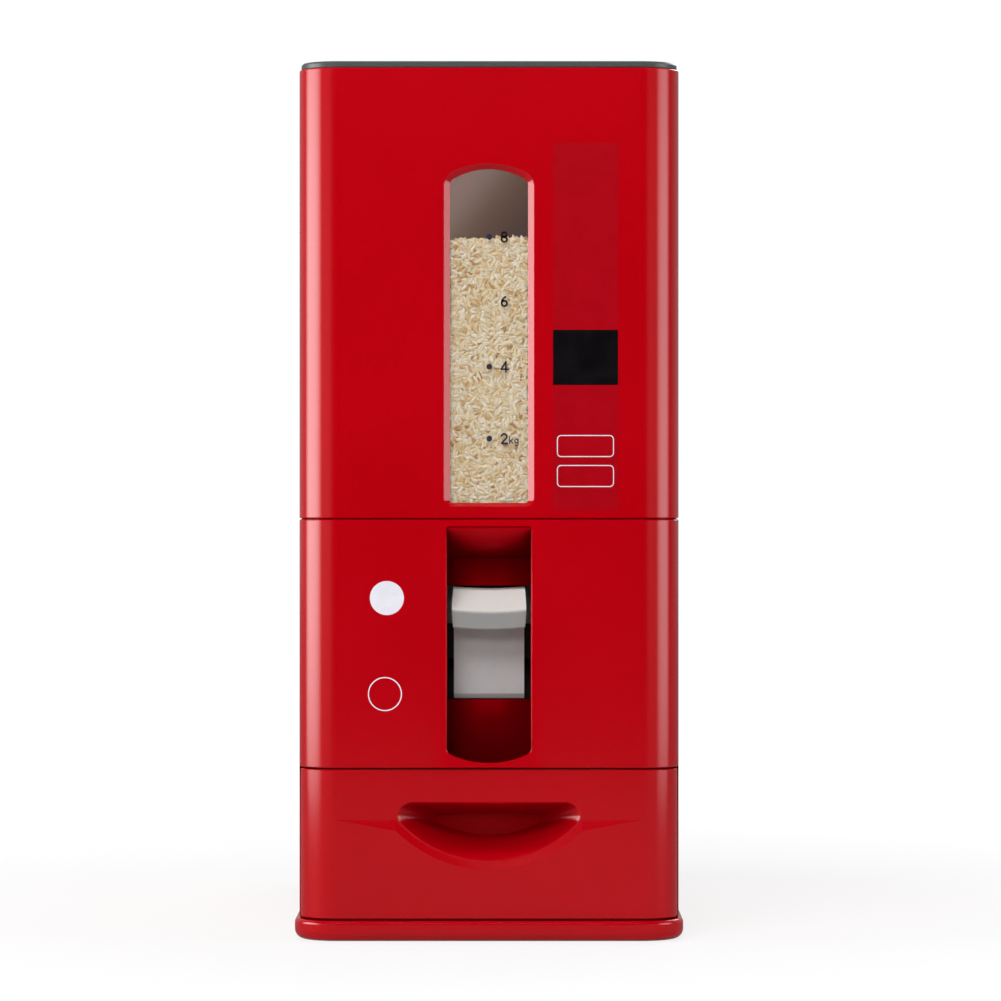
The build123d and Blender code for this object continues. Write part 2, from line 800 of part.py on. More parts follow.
neck_rear = axis_y + neck_inner_y
neck_front = axis_y - neck_inner_y
tank_front = front_inner + snug_gap + pane_thickness + tank_front_clear
tank_rear = inner_half_depth - tank_gap
tank_half = inner_half_width - tank_gap
tank_inner_half = tank_half - tank_wall
tank_top = upper_top - tank_top_drop
floor_slope = tan(radians(tank_floor_angle))
mouth_front = front_face + hopper_front_offset
mouth_rear = neck_rear + (lower_top - hopper_neck_top) / floor_slope


def frustum(grow_side, grow_front, grow_rear):
    # The funnel between its mouth and its neck, grown sideways by a wall
    lower = [(neck_inner_x + grow_side, neck_front - grow_front, neck_rear + grow_rear, hopper_neck_top),
             (tank_inner_half + grow_side, mouth_front - grow_front, mouth_rear + grow_rear, lower_top)]
    faces = []
    for half, front, rear, z in lower:
        faces.append(Pos(0, (front + rear) / 2, z) * Rectangle(2 * half, rear - front))
    return loft(faces, ruled=True)


def hopper():
    rise = lower_top - hopper_neck_top
    side_run = tank_inner_half - neck_inner_x
    front_run = neck_front - mouth_front
    side = hopper_wall * sqrt(rise ** 2 + side_run ** 2) / rise
    front = hopper_wall * sqrt(rise ** 2 + front_run ** 2) / rise
    rear = hopper_wall / sin(radians(tank_floor_angle))
    flange = casing_prism(casing_wall + running_gap + collar_wall + snug_gap,
                          lower_top - hopper_flange, lower_top)
    neck_low = hopper_neck_top - hopper_neck_length
    neck = block(-neck_inner_x - hopper_wall, neck_inner_x + hopper_wall, neck_front - hopper_wall,
                 neck_rear + hopper_wall, neck_low, hopper_neck_top + hopper_wall)
    bore = block(-neck_inner_x, neck_inner_x, neck_front, neck_rear, neck_low - 1, hopper_neck_top + 1)
    funnel = frustum(side, front, rear) + flange + neck
    return funnel - frustum(0, 0, 0) - bore


def tank_prism(inset, z_low, z_high):
    radius = corner_radius - casing_wall - inset
    return prism(tank_half - inset, tank_front + inset, tank_rear - inset, radius, z_low, z_high)


def above_floor(shift, z_low):
    # Everything above the tank's sloping floor, moved down by shift
    front, rear, high = -half_depth, half_depth, lid_top
    floor_z = lower_top - shift
    outline = Polyline((front, z_low), (mouth_rear - (floor_z - z_low) / floor_slope, z_low),
                       (rear, floor_z + (rear - mouth_rear) * floor_slope), (rear, high), (front, high),
                       close=True)
    return side_prism(make_face(outline), -half_width, half_width)


def window_outline(grow_side, grow_top, grow_bottom, corner, top_corner=window_corner):
    bottom = upper_bottom + window_bottom
    top = bottom + window_height
    return arch_outline(window_half_width + grow_side, bottom - grow_bottom, top + grow_top,
                        window_crown, corner, top_corner)


def rice_tank():
    tank = tank_prism(0, lower_top, tank_top) - tank_prism(tank_wall, lower_top - 1, tank_top + 1)
    slab = hopper_wall / cos(radians(tank_floor_angle))
    floor = above_floor(slab, lower_top - slab - 1) - above_floor(0, lower_top - slab - 2)
    rear_part = block(-half_width, half_width, mouth_rear - hopper_wall, tank_rear, lower_top, tank_top)
    tank += tank_prism(tank_wall / 2, lower_top, tank_top) & floor & rear_part
    rim_inset = casing_wall + snug_gap
    tank += casing_prism(rim_inset, tank_top - tank_rim_height, tank_top) - tank_prism(
        tank_wall / 2, tank_top - tank_rim_height - 1, tank_top + 1)
    margin = tank_window_margin
    cut = window_outline(margin, margin, margin, pane_corner)
    return tank - front_prism(cut, tank_front - 1, tank_front + tank_wall + 1)


def rice_fill():
    level = upper_bottom + rice_level
    low = lower_top
    inset = tank_wall + rice_gap
    body = tank_prism(inset, low, tank_top) & above_floor(-2 * rice_gap, low)
    above = Box(3 * half_width, 3 * half_depth, upper_height, align=(Align.CENTER, Align.CENTER, Align.MIN))
    body -= Pos(0, (tank_front + tank_rear) / 2, level) * (Rotation(0, -rice_slope, 0) * above)
    margin = tank_window_margin - rice_gap
    boss = front_prism(window_outline(margin, margin, margin, pane_corner), tank_front - tank_front_clear / 2,
                       tank_front + inset + 1)
    body += boss & block(-half_width, half_width, tank_front - 1, tank_rear, low, level - 3)
    funnel = frustum(-2 * rice_gap, -2 * rice_gap, -4 * rice_gap)
    inner_x = housing_inner - rice_gap
    inner_y = throat_half - rice_gap
    plug = block(-inner_x, inner_x, axis_y - inner_y, axis_y + inner_y,
                 axis_z + housing_outer_radius + rice_gap, hopper_neck_top + 1)
    return body + funnel + plug


def window_pane():
    outline = window_outline(pane_margin_side, pane_margin_top, pane_margin_bottom, pane_corner)
    front = front_inner + snug_gap
    return front_prism(outline, front, front + pane_thickness)


def upper_casing():
    shell = seamed_prism(0, upper_bottom, upper_top) - casing_prism(
        casing_wall, upper_bottom - 1, upper_top + 1)
    outer = window_outline(window_bevel_side, window_bevel_top, window_bevel_bottom, window_bevel_foot,
                           window_bevel_corner)
    inner = window_outline(0, 0, 0, window_foot_corner)
    bevel = loft([Plane.XZ.offset(-front_face) * outer, Plane.XZ.offset(-front_inner) * inner], ruled=True)
    shell -= bevel + front_prism(inner, front_inner, front_inner + 1)
    reach = window_half_width + window_bevel_side
    low = upper_bottom + window_bottom - window_bevel_bottom
    high = upper_bottom + window_bottom + window_height + window_bevel_top
    shell = fillet(edges_on_face(shell, front_face, reach, low, high), window_edge_round)
    lug_low = lower_top + collar_rise
    lug_inner = tank_half + lug_clear
    for y in (-lug_place, lug_place):
        lug = block(lug_inner, inner_half_width + joined, y - lug_length / 2, y + lug_length / 2,
                    lug_low, lug_low + lug_height)
        shell += both_sides(lug)
    return shell


# Lid

hinge_y = half_depth - hinge_inset
hinge_z = lid_top - hinge_drop
lid_barrel_end = tank_inner_half - skirt_gap
pin_end = lid_barrel_end - pin_inset


def lid_plate():
    plate = casing_prism(lid_inset, lid_bottom, lid_top)
    return chamfer(plate.faces().sort_by(Axis.Z)[-1].edges(), lid_bevel)


def lid_ring(inset, wall, z_low, z_high):
    return tank_prism(inset, z_low, z_high) - tank_prism(inset + wall, z_low - 1, z_high + 1)


def hinge_bore():
    reach = hinge_pin_radius + hinge_clearance
    return both_sides(rod_x(pin_start - knuckle_gap, lid_barrel_end + 1, hinge_y, hinge_z, reach))


def lid_flap():
    far = half_width + 1
    inner = lid_barrel_end
    plate = lid_plate() + lid_ring(0, tank_wall, tank_top + lid_rib, lid_bottom + joined)
    plate += lid_ring(tank_wall + skirt_gap, skirt_wall, lid_bottom - skirt_depth, lid_bottom + joined)
    plate -= block(-far, far, hinge_y, half_depth + 1, 0, lid_top + 1)
    plate -= both_sides(block(inner, far, hinge_y - flap_edge, half_depth, 0, lid_top + 1))
    skirt_rear = hinge_y - flap_edge - barrel_radius
    plate -= block(-far, far, skirt_rear, half_depth, 0, lid_bottom)
    plate += block(-inner, inner, skirt_rear - skirt_wall, skirt_rear, lid_bottom - skirt_depth,
                   lid_bottom + joined)
    plate += rod_x(-inner, inner, hinge_y, hinge_z, barrel_radius)
    notch = barrel_radius + 2 * knuckle_gap
    start = knuckle_start - knuckle_gap
    end = knuckle_end + knuckle_gap
    plate -= both_sides(block(start, end, hinge_y - notch, half_depth, 0, lid_top + 1))
    return plate - hinge_bore()


def lid_rear():
    far = half_width + 1
    strip = lid_plate() + lid_ring(0, tank_wall, tank_top, lid_bottom + joined)
    strip += lid_ring(tank_wall + skirt_gap, skirt_wall, lid_bottom - skirt_depth, lid_bottom + joined)
    ear = lid_barrel_end + running_gap
    strip -= block(-far, far, -far * 3, hinge_y - ear_front, 0, lid_top + 1)
    strip -= block(-ear, ear, hinge_y - far, hinge_y + hinge_swing, 0, lid_top + 1)
    for start, end in ((knuckle_start, knuckle_end), (-knuckle_end, -knuckle_start)):
        strip += rod_x(start, end, hinge_y, hinge_z, barrel_radius)
        strip += block(start, end, hinge_y, hinge_y + hinge_swing + 1, hinge_z - barrel_radius, hinge_z + 2)
    return strip - hinge_bore()


def lid_hinge_pins():
    pins = [rod_x(pin_start, pin_end, hinge_y, hinge_z, hinge_pin_radius),
            rod_x(-pin_end, -pin_start, hinge_y, hinge_z, hinge_pin_radius)]
    return Compound(pins)


# Drawer

drawer_face = front_face + drawer_inset
box_half_width = inner_half_width - box_side_clear
drawer_boss_x = box_half_width - drawer_boss_inset
runner_x = box_half_width - runner_inset


def scoop_outline(grow):
    low = drawer_bottom + scoop_bottom - grow
    top = drawer_bottom + scoop_top + grow
    shoulder = drawer_bottom + scoop_shoulder
    return half_moon(scoop_half_width + grow, scoop_top_half, low, shoulder, top, 0, scoop_corner)


def scoop_back_outline(grow):
    low = drawer_bottom + scoop_back_bottom - grow
    top = drawer_bottom + scoop_back_top - scoop_back_crown + grow
    shoulder = drawer_bottom + scoop_back_shoulder
    return half_moon(scoop_back_half_width + grow, scoop_back_top_half, low, shoulder, top,
                     scoop_back_crown, scoop_back_corner)


def half_moon(half, top_half, low, shoulder, top, crown, corner):
    # Flat or slightly arched top, round shoulders and one arc below
    bend_x = top_half + (half - top_half) * cos(pi / 4)
    bend_z = shoulder + (top - shoulder) * sin(pi / 4)
    lid = Line((top_half, top), (-top_half, top))
    if crown:
        lid = ThreePointArc((top_half, top), (0, top + crown), (-top_half, top))
    edges = [
        ThreePointArc((-half, shoulder), (0, low), (half, shoulder)),
        ThreePointArc((half, shoulder), (bend_x, bend_z), (top_half, top)),
        lid,
        ThreePointArc((-top_half, top), (-bend_x, bend_z), (-half, shoulder)),
    ]
    face = make_face(edges)
    ends = face.vertices().filter_by(lambda v: abs(v.Y - shoulder) < joined)
    return fillet(ends, corner)


def scoop_solid(grow):
    # A bevelled rim, then a bowl that narrows to a lens at the back
    floor = drawer_face + recess_depth
    faces = [Plane.XZ.offset(-floor) * scoop_outline(grow + scoop_edge_bevel),
             Plane.XZ.offset(-(floor + scoop_edge_bevel)) * scoop_outline(grow),
             Plane.XZ.offset(-(drawer_face + scoop_depth + grow)) * scoop_back_outline(grow)]
    return loft(faces, ruled=True)


def recess_outline(drop, end_x, arc_grow):
    # Everything above the crease, which dips round the scoop's lower arc
    crease = drawer_bottom + recess_crease
    top = drawer_top + 1
    rise = scoop_shoulder - scoop_bottom
    scoop_arc = (scoop_half_width ** 2 + rise ** 2) / (2 * rise)
    centre = drawer_bottom + scoop_bottom + scoop_arc
    radius = scoop_arc + recess_ledge + arc_grow
    turn_z = crease - drop
    turn_x = sqrt(radius ** 2 - (centre - turn_z) ** 2)
    edges = [
        Line((-end_x, top), (-end_x, crease)),
        Line((-end_x, crease), (-turn_x, turn_z)),
        ThreePointArc((-turn_x, turn_z), (0, centre - radius), (turn_x, turn_z)),
        Line((turn_x, turn_z), (end_x, crease)),
        Line((end_x, crease), (end_x, top)),
        Line((end_x, top), (-end_x, top)),
    ]
    return make_face(edges)


def drawer_recess():
    # Its floor runs out to nothing where the corners of the front begin
    rim = recess_outline(recess_drop, half_width - corner_radius, recess_slope)
    floor = recess_outline(snug_gap, scoop_half_width + recess_end, 0)
    cut = loft([Plane.XZ.offset(-drawer_face) * rim,
                Plane.XZ.offset(-(drawer_face + recess_depth)) * floor], ruled=True)
    return cut + front_prism(rim, drawer_face - 1, drawer_face)


def drawer_boss_places():
    heights = (drawer_bottom + drawer_boss_low, drawer_bottom + drawer_boss_high)
    return [(x, z) for x in (-drawer_boss_x, drawer_boss_x) for z in heights]


def drawer_front():
    rear = front_face + corner_radius - tier_gap
    shell = seamed_prism(drawer_inset, drawer_bottom, drawer_top) - casing_prism(
        drawer_inset + drawer_shell, drawer_bottom - 1, drawer_top - drawer_shell)
    shell &= block(-half_width, half_width, -half_depth, rear, 0, drawer_top)
    box_face = front_face + box_front
    middle = drawer_face + drawer_shell / 2
    for x, z in drawer_boss_places():
        shell += rod_y(x, middle, box_face, z, drawer_boss_radius)
    shell += scoop_solid(scoop_wall) & block(-half_width, half_width, middle, half_depth, 0, drawer_top)
    shell -= drawer_recess()
    shell -= scoop_solid(0)
    for x, z in drawer_boss_places():
        shell -= Pos(x, box_face + 1, z) * forward * screw_hole(drawer_screw_reach + 1)
    return shell


box_low = base_top + runner_height + runner_clear
box_length = drawer_travel + drawer_hold


def drawer_box():
    front = front_face + box_front
    rear = front + box_length
    box = prism(box_half_width, front, rear, box_corner, box_low, box_top)
    box -= prism(box_half_width - box_wall, front + box_wall, rear - box_wall, box_corner - box_wall,
                 box_low + box_wall, box_top + 1)
    for x, z in drawer_boss_places():
        box -= Pos(x, front + box_wall + 1, z) * forward * screw_hole(box_wall + 2)
    return box


def drawer_screws():
    seat = front_face + box_front + box_wall
    pointing_forward = forward * screw(box_wall + drawer_screw_reach - 1)
    return Compound([Pos(x, seat, z) * pointing_forward for x, z in drawer_boss_places()])


def drawer_runners():
    front = front_face + box_front
    strips = []
    for x in (-runner_x, runner_x):
        strips.append(block(x - runner_width / 2, x + runner_width / 2, front, front + box_length,
                            base_top, base_top + runner_height))
    return Compound(strips)


pieces = {
    "base_tray": base_tray,
    "rubber_feet": rubber_feet,
    "base_screws": base_screws,
    "lower_casing": lower_casing,
    "inner_frame": inner_frame,
    "meter_housing": meter_housing,
    "meter_cradle": meter_cradle,
    "housing_screws": housing_screws,
    "hopper": hopper,
    "metering_drum": metering_drum,
    "drum_end_right": drum_cap,
    "drum_end_left": lambda: mirror(drum_cap(), about=Plane.YZ),
    "measuring_lever": measuring_lever,
    "lever_carriage": lever_carriage,
    "lever_screws": lever_screws,
    "return_springs": return_springs,
    "upper_casing": upper_casing,
    "window_pane": window_pane,
    "rice_tank": rice_tank,
    "rice_fill": rice_fill,
    "lid_rear": lid_rear,
    "lid_flap": lid_flap,
    "lid_hinge_pins": lid_hinge_pins,
    "drawer_front": drawer_front,
    "drawer_box": drawer_box,
    "drawer_screws": drawer_screws,
    "drawer_runners": drawer_runners,
}

os.makedirs("parts", exist_ok=True)
for name, make in pieces.items():
    piece = make()
    piece.label = name
    export_step(piece, f"parts/{name}.step")
    print(name, len(piece.solids()), round(piece.volume))
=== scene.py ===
import bpy
import math
import numpy as np
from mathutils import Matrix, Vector, noise


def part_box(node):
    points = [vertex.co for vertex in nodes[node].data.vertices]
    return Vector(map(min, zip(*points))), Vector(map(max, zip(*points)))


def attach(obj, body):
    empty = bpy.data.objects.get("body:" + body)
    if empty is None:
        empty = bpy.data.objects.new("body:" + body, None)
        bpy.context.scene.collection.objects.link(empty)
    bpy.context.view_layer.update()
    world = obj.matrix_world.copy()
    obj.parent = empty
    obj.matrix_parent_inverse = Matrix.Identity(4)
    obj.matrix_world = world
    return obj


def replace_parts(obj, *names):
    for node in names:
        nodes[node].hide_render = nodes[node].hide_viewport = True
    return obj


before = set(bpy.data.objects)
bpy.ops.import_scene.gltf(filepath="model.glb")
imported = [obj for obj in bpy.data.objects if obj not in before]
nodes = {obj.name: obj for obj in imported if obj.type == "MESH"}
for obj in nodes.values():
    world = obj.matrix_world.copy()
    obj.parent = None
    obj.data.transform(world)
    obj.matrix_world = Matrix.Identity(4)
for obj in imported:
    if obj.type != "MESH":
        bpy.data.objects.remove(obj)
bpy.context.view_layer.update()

mm = 0.001               # the frame is in metres, the sizes below are in millimetres
scene = bpy.context.scene
scene.view_settings.view_transform = "Standard"


# nodes and colours

def linear(hexText):
    values = [int(hexText[i:i + 2], 16) / 255 for i in (1, 3, 5)]
    parts = [value / 12.92 if value <= 0.04045 else ((value + 0.055) / 1.055) ** 2.4 for value in values]
    return (*parts, 1.0)


def addNode(tree, kind, settings=None, links=None):
    # settings name a property or an input, links give an input its socket
    node = tree.nodes.new(kind)
    for key, value in (settings or {}).items():
        if isinstance(key, int) or key in node.inputs:
            node.inputs[key].default_value = value
        else:
            setattr(node, key, value)
    for key, socket in (links or {}).items():
        tree.links.new(socket, node.inputs[key])
    return node


def newMaterial(name, settings):
    material = bpy.data.materials.new(name)
    material.use_nodes = True
    tree = material.node_tree
    shader = tree.nodes["Principled BSDF"]
    for key, value in settings.items():
        shader.inputs[key].default_value = value
    return material, tree, shader


def setStops(ramp, stops):
    elements = ramp.color_ramp.elements
    while len(elements) < len(stops):
        elements.new(0.5)
    for element, (at, colour) in zip(elements, stops):
        element.position = at
        element.color = linear(colour)


def mottled(tree, sizeMm, stops, detail=3):
    # colour that changes slowly over a surface, in blotches of about sizeMm
    place = addNode(tree, "ShaderNodeTexCoord").outputs["Object"]
    cloud = addNode(tree, "ShaderNodeTexNoise", {"Scale": 1 / (sizeMm * mm), "Detail": detail},
                    {"Vector": place})
    ramp = addNode(tree, "ShaderNodeValToRGB", links={0: cloud.outputs["Fac"]})
    setStops(ramp, stops)
    return cloud, ramp


def textured(tree, shader, sizeMm, depthMm, detail=2):
    # fine relief, in grains of about sizeMm
    place = addNode(tree, "ShaderNodeTexCoord").outputs["Object"]
    grain = addNode(tree, "ShaderNodeTexNoise", {"Scale": 1 / (sizeMm * mm), "Detail": detail},
                    {"Vector": place})
    bump = addNode(tree, "ShaderNodeBump", {"Strength": 1.0, "Distance": depthMm * mm},
                   {"Height": grain.outputs["Fac"]})
    tree.links.new(bump.outputs["Normal"], shader.inputs["Normal"])


# moulded plastics

blotchEnds = (0.32, 0.68)        # where the noise reaches the darker and the lighter tone
mouldedLooks = {
    # two tones, roughness, then the size of the blotches and the size and depth of the mould's grain;
    # a real eroded or satin grain is 0.2 mm or finer, and is drawn coarser here so that it shows

    # polished mould: deep colour under narrow, clear highlights
    "red": {"name": "gloss moulded ABS, red", "tones": ("#b8000e", "#bd0010"), "roughness": (0.11, 0.16),
            "ior": 1.54, "cloudMm": 70, "grainMm": 3.0, "depthMm": 0.0008},
    # eroded mould: a broad sheen that breaks up into specks
    "slate": {"name": "spark eroded ABS, slate grey", "tones": ("#444a4b", "#4e5454"),
              "roughness": (0.28, 0.38), "ior": 1.54, "cloudMm": 1.2, "grainMm": 0.9, "depthMm": 0.005},
    # satin mould: soft highlights without an edge
    "lever": {"name": "satin moulded ABS, pale grey", "tones": ("#b2b2b1", "#babab9"),
              "roughness": (0.30, 0.38), "ior": 1.54, "cloudMm": 16, "grainMm": 0.6, "depthMm": 0.002},
    # dense and slippery: an even white, or black, with a quiet sheen
    "acetal": {"name": "moulded acetal, white", "tones": ("#dad9d3", "#e4e3de"), "roughness": (0.25, 0.33),
               "ior": 1.48, "cloudMm": 10, "grainMm": 0.8, "depthMm": 0.002},
    "blackAcetal": {"name": "moulded acetal, black", "tones": ("#050505", "#080807"),
                    "roughness": (0.5, 0.6), "ior": 1.48, "cloudMm": 10, "grainMm": 0.8, "depthMm": 0.002},
    # waxy: a dull skin, cloudy where it has no pigment
    "charcoal": {"name": "moulded polypropylene, charcoal", "tones": ("#171716", "#1e1e1c"),
                 "roughness": (0.45, 0.55), "ior": 1.49, "cloudMm": 30, "grainMm": 0.8, "depthMm": 0.004},
    "milky": {"name": "moulded polypropylene, natural", "tones": ("#a9a49a", "#b4afa5"),
              "roughness": (0.38, 0.46), "ior": 1.49, "cloudMm": 30, "grainMm": 0.8, "depthMm": 0.004},
    "smoky": {"name": "moulded polypropylene, smoky", "tones": ("#463e36", "#4d453c"),
              "roughness": (0.38, 0.46), "ior": 1.49, "cloudMm": 30, "grainMm": 0.8, "depthMm": 0.004},
    # soft feet: no shine, and dust in the grain
    "rubber": {"name": "moulded rubber, dusty black", "tones": ("#222221", "#343331"),
               "roughness": (0.7, 0.85), "ior": 1.5, "cloudMm": 2.5, "grainMm": 0.7, "depthMm": 0.02},
}


def mouldedPlastic(look):
    # the pigment drifts a little, and the polish drifts with it
    material, tree, shader = newMaterial(look["name"], {"IOR": look["ior"]})
    cloud, ramp = mottled(tree, look["cloudMm"], list(zip(blotchEnds, look["tones"])))
    tree.links.new(ramp.outputs["Color"], shader.inputs["Base Color"])
    low, high = look["roughness"]
    polish = addNode(tree, "ShaderNodeMapRange", {"To Min": low, "To Max": high},
                     {"Value": cloud.outputs["Fac"]})
    tree.links.new(polish.outputs[0], shader.inputs["Roughness"])
    textured(tree, shader, look["grainMm"], look["depthMm"])
    return material


paintedTankGlow = {
    # painted light: a glow in the tank's colours, bright at the upper left of the window and dark at the
    # lower right, standing in for daylight through the tank's walls
    "stops": ((0.19, "#846661"), (0.31, "#745e55"), (0.4, "#674d41"), (0.5, "#5b3c2e"), (0.6, "#4f2d1b"),
              (0.82, "#351008")),
    "from": (-24, 423), "to": (28.8, 380.1), "strength": 1.0,
}


def paintTankGlow(material):
    # painted glow: the inside of the tank shines by itself in that gradient, standing in for daylight through
    # its waxy wall, so it is never quite dark
    tree = material.node_tree
    shader = tree.nodes["Principled BSDF"]
    place = addNode(tree, "ShaderNodeTexCoord").outputs["Object"]
    start, end = (Vector((x, 0, z)) * mm for x, z in (paintedTankGlow["from"], paintedTankGlow["to"]))
    run = end - start
    step = addNode(tree, "ShaderNodeVectorMath", {"operation": "SUBTRACT", 1: start}, {0: place})
    along = addNode(tree, "ShaderNodeVectorMath", {"operation": "DOT_PRODUCT", 1: run / run.length_squared},
                    {0: step.outputs[0]})
    fade = addNode(tree, "ShaderNodeValToRGB", links={0: along.outputs["Value"]})
    setStops(fade, paintedTankGlow["stops"])
    tree.links.new(fade.outputs["Color"], shader.inputs["Emission Color"])
    shader.inputs["Emission Strength"].default_value = paintedTankGlow["strength"]
    return material


opennessSamples = 8
paintedRecessShade = {
    # painted shade: walls of a recess about reachMm apart darken its colour, more so as the power rises, but
    # the share "least" of the colour stays; the shine is painted away as well, and "gloss" is how open a
    # place is when its shine is gone and when all of it is there; one share is the shine that painted dimming
    # leaves on the well's edges, up to the first distance in mm from the front's middle, and at the second
    # the shine is whole
    "redWell": {"name": "gloss moulded ABS, red, painted shade around the well", "reachMm": 30, "shadePower": 5.0, "least": 0.2,
                "gloss": (0.88, 0.99), "edgeShine": 0.3, "edgeShineWithin": 22, "edgeShineWhole": 30},
    "redScoop": {"name": "gloss moulded ABS, red, painted shade around the scoop", "reachMm": 24, "shadePower": 1.8,
                 "least": 0.55, "gloss": (0.62, 0.97)},
}


def paintShadeInRecesses(material, recess):
    # painted shade: the colour is darkened, and its mirrored light painted away, between two of its own walls
    material.name = recess["name"]
    tree = material.node_tree
    shader = tree.nodes["Principled BSDF"]
    pigment = shader.inputs["Base Color"].links[0].from_socket
    around = addNode(tree, "ShaderNodeAmbientOcclusion", {
        "samples": opennessSamples, "only_local": True, "Distance": recess["reachMm"] * mm})
    openness = around.outputs["AO"]
    # painted shade: the pigment is darkened the more closed a place is
    power = addNode(tree, "ShaderNodeMath", {"operation": "POWER", 1: recess["shadePower"]}, {0: openness})
    depth = addNode(tree, "ShaderNodeMath", {"operation": "MAXIMUM", 1: recess["least"]},
                    {0: power.outputs[0]})
    shadedPigment = addNode(tree, "ShaderNodeVectorMath", {"operation": "SCALE"},
                   {0: pigment, "Scale": depth.outputs[0]})
    tree.links.new(shadedPigment.outputs[0], shader.inputs["Base Color"])
    # painted shade on reflections: a shineless surface of the darkened colour takes over where a place is
    # closed
    dull = addNode(tree, "ShaderNodeBsdfDiffuse", links={"Color": shadedPigment.outputs[0]})
    low, high = recess["gloss"]
    shine = addNode(tree, "ShaderNodeMapRange", {"From Min": low, "From Max": high}, {"Value": openness})
    # painted dimming of highlights: only a share of the shine is left in a strip across the front's middle,
    # around the well
    if "edgeShine" in recess:
        place = addNode(tree, "ShaderNodeTexCoord").outputs["Object"]
        across = addNode(tree, "ShaderNodeSeparateXYZ", links={0: place})
        away = addNode(tree, "ShaderNodeMath", {"operation": "ABSOLUTE"}, {0: across.outputs["X"]})
        edgeShineKept = addNode(tree, "ShaderNodeMapRange", {
            "From Min": recess["edgeShineWithin"] * mm, "From Max": recess["edgeShineWhole"] * mm,
            "To Min": recess["edgeShine"]}, {"Value": away.outputs[0]})
        shine = addNode(tree, "ShaderNodeMath", {"operation": "MULTIPLY"},
                        {0: shine.outputs[0], 1: edgeShineKept.outputs[0]})
    mix = addNode(tree, "ShaderNodeMixShader", links={0: shine.outputs[0], 1: dull.outputs[0],
                                                      2: shader.outputs[0]})
    tree.links.new(mix.outputs[0], tree.nodes["Material Output"].inputs["Surface"])
    return material


leverLightAndShade = {
    # painted shade: the lip is grey up to the first distance behind its nose, and at the second the grey has
    # faded out;
    # painted light: a paler tone starts and is full where the upward part of the surface's direction plus the
    # specks reaches so much
    "grey": "#9c9c9b", "lipShadeMm": 5, "lipShadeGoneMm": 11,
    "upLitTone": "#eeebe6", "upLitFrom": 0.37, "upLitTo": 0.87,
    "specks": 0.25, "speckMm": 0.9, "speckDetail": 3,
}


def paintLightAndShadeOnLever(material):
    # painted shade greys the lip a little, and painted light makes the faces that look up paler, in fine
    # specks
    use = leverLightAndShade
    tree = material.node_tree
    shader = tree.nodes["Principled BSDF"]
    plastic = shader.inputs["Base Color"].links[0].from_socket
    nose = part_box("measuring_lever")[0].y
    place = addNode(tree, "ShaderNodeTexCoord").outputs["Object"]
    sides = addNode(tree, "ShaderNodeSeparateXYZ", links={0: place})
    # painted shade: grey on the lip's front
    inner = addNode(tree, "ShaderNodeMapRange", {
        "From Min": nose + use["lipShadeMm"] * mm, "From Max": nose + use["lipShadeGoneMm"] * mm},
        {"Value": sides.outputs["Y"]})
    lipShaded = addNode(tree, "ShaderNodeMix", {"data_type": "RGBA", 6: linear(use["grey"])},
                      {0: inner.outputs[0], 7: plastic})
    # painted light: a paler tone where the surface looks up, broken into specks
    facing = addNode(tree, "ShaderNodeSeparateXYZ",
                     links={0: addNode(tree, "ShaderNodeNewGeometry").outputs["Normal"]})
    specks = addNode(tree, "ShaderNodeTexNoise", {
        "Scale": 1 / (use["speckMm"] * mm), "Detail": use["speckDetail"]}, {"Vector": place})
    uneven = addNode(tree, "ShaderNodeMath", {"operation": "MULTIPLY_ADD", 1: use["specks"]},
                     {0: specks.outputs["Fac"], 2: facing.outputs["Z"]})
    cover = addNode(tree, "ShaderNodeMapRange", {"From Min": use["upLitFrom"], "From Max": use["upLitTo"]},
                    {"Value": uneven.outputs[0]})
    upLitColour = addNode(tree, "ShaderNodeMix", {"data_type": "RGBA", 7: linear(use["upLitTone"])},
                    {0: cover.outputs[0], 6: lipShaded.outputs[2]})
    tree.links.new(upLitColour.outputs[2], shader.inputs["Base Color"])
    return material


# the pane, metal and print

paneLook = {"tint": "#f6f8f6", "ior": 1.57, "roughness": 0.03, "flowMm": 45, "flowDepthMm": 0.001}


def clearStyrene():
    # clear injection moulding: glassy, with a trace of flow in its surface
    look = paneLook
    material, tree, shader = newMaterial("clear moulded styrene acrylonitrile", {
        "IOR": look["ior"], "Roughness": look["roughness"], "Transmission Weight": 1.0,
        "Base Color": linear(look["tint"])})
    textured(tree, shader, look["flowMm"], look["flowDepthMm"])
    path = addNode(tree, "ShaderNodeLightPath")
    through = addNode(tree, "ShaderNodeMath", {"operation": "MAXIMUM"},
                      {0: path.outputs["Is Shadow Ray"], 1: path.outputs["Is Diffuse Ray"]})
    clear = addNode(tree, "ShaderNodeBsdfTransparent")      # lets the lamps reach the rice
    mix = addNode(tree, "ShaderNodeMixShader", links={0: through.outputs[0], 1: shader.outputs[0],
                                                      2: clear.outputs[0]})
    tree.links.new(mix.outputs[0], tree.nodes["Material Output"].inputs["Surface"])
    return material


steelLook = {"tones": ((0.4, "#a4a7ab"), (0.6, "#b9bcc0")), "roughness": (0.22, 0.36), "wearMm": 0.8,
             "wearDetail": 5}


def zincPlatedSteel():
    # bright zinc, dulled in small patches
    look = steelLook
    material, tree, shader = newMaterial("zinc plated steel", {"Metallic": 1.0})
    wear, ramp = mottled(tree, look["wearMm"], look["tones"], look["wearDetail"])
    tree.links.new(ramp.outputs["Color"], shader.inputs["Base Color"])
    low, high = look["roughness"]
    polish = addNode(tree, "ShaderNodeMapRange", {"To Min": low, "To Max": high},
                     {"Value": wear.outputs["Fac"]})
    tree.links.new(polish.outputs[0], shader.inputs["Roughness"])
    return material


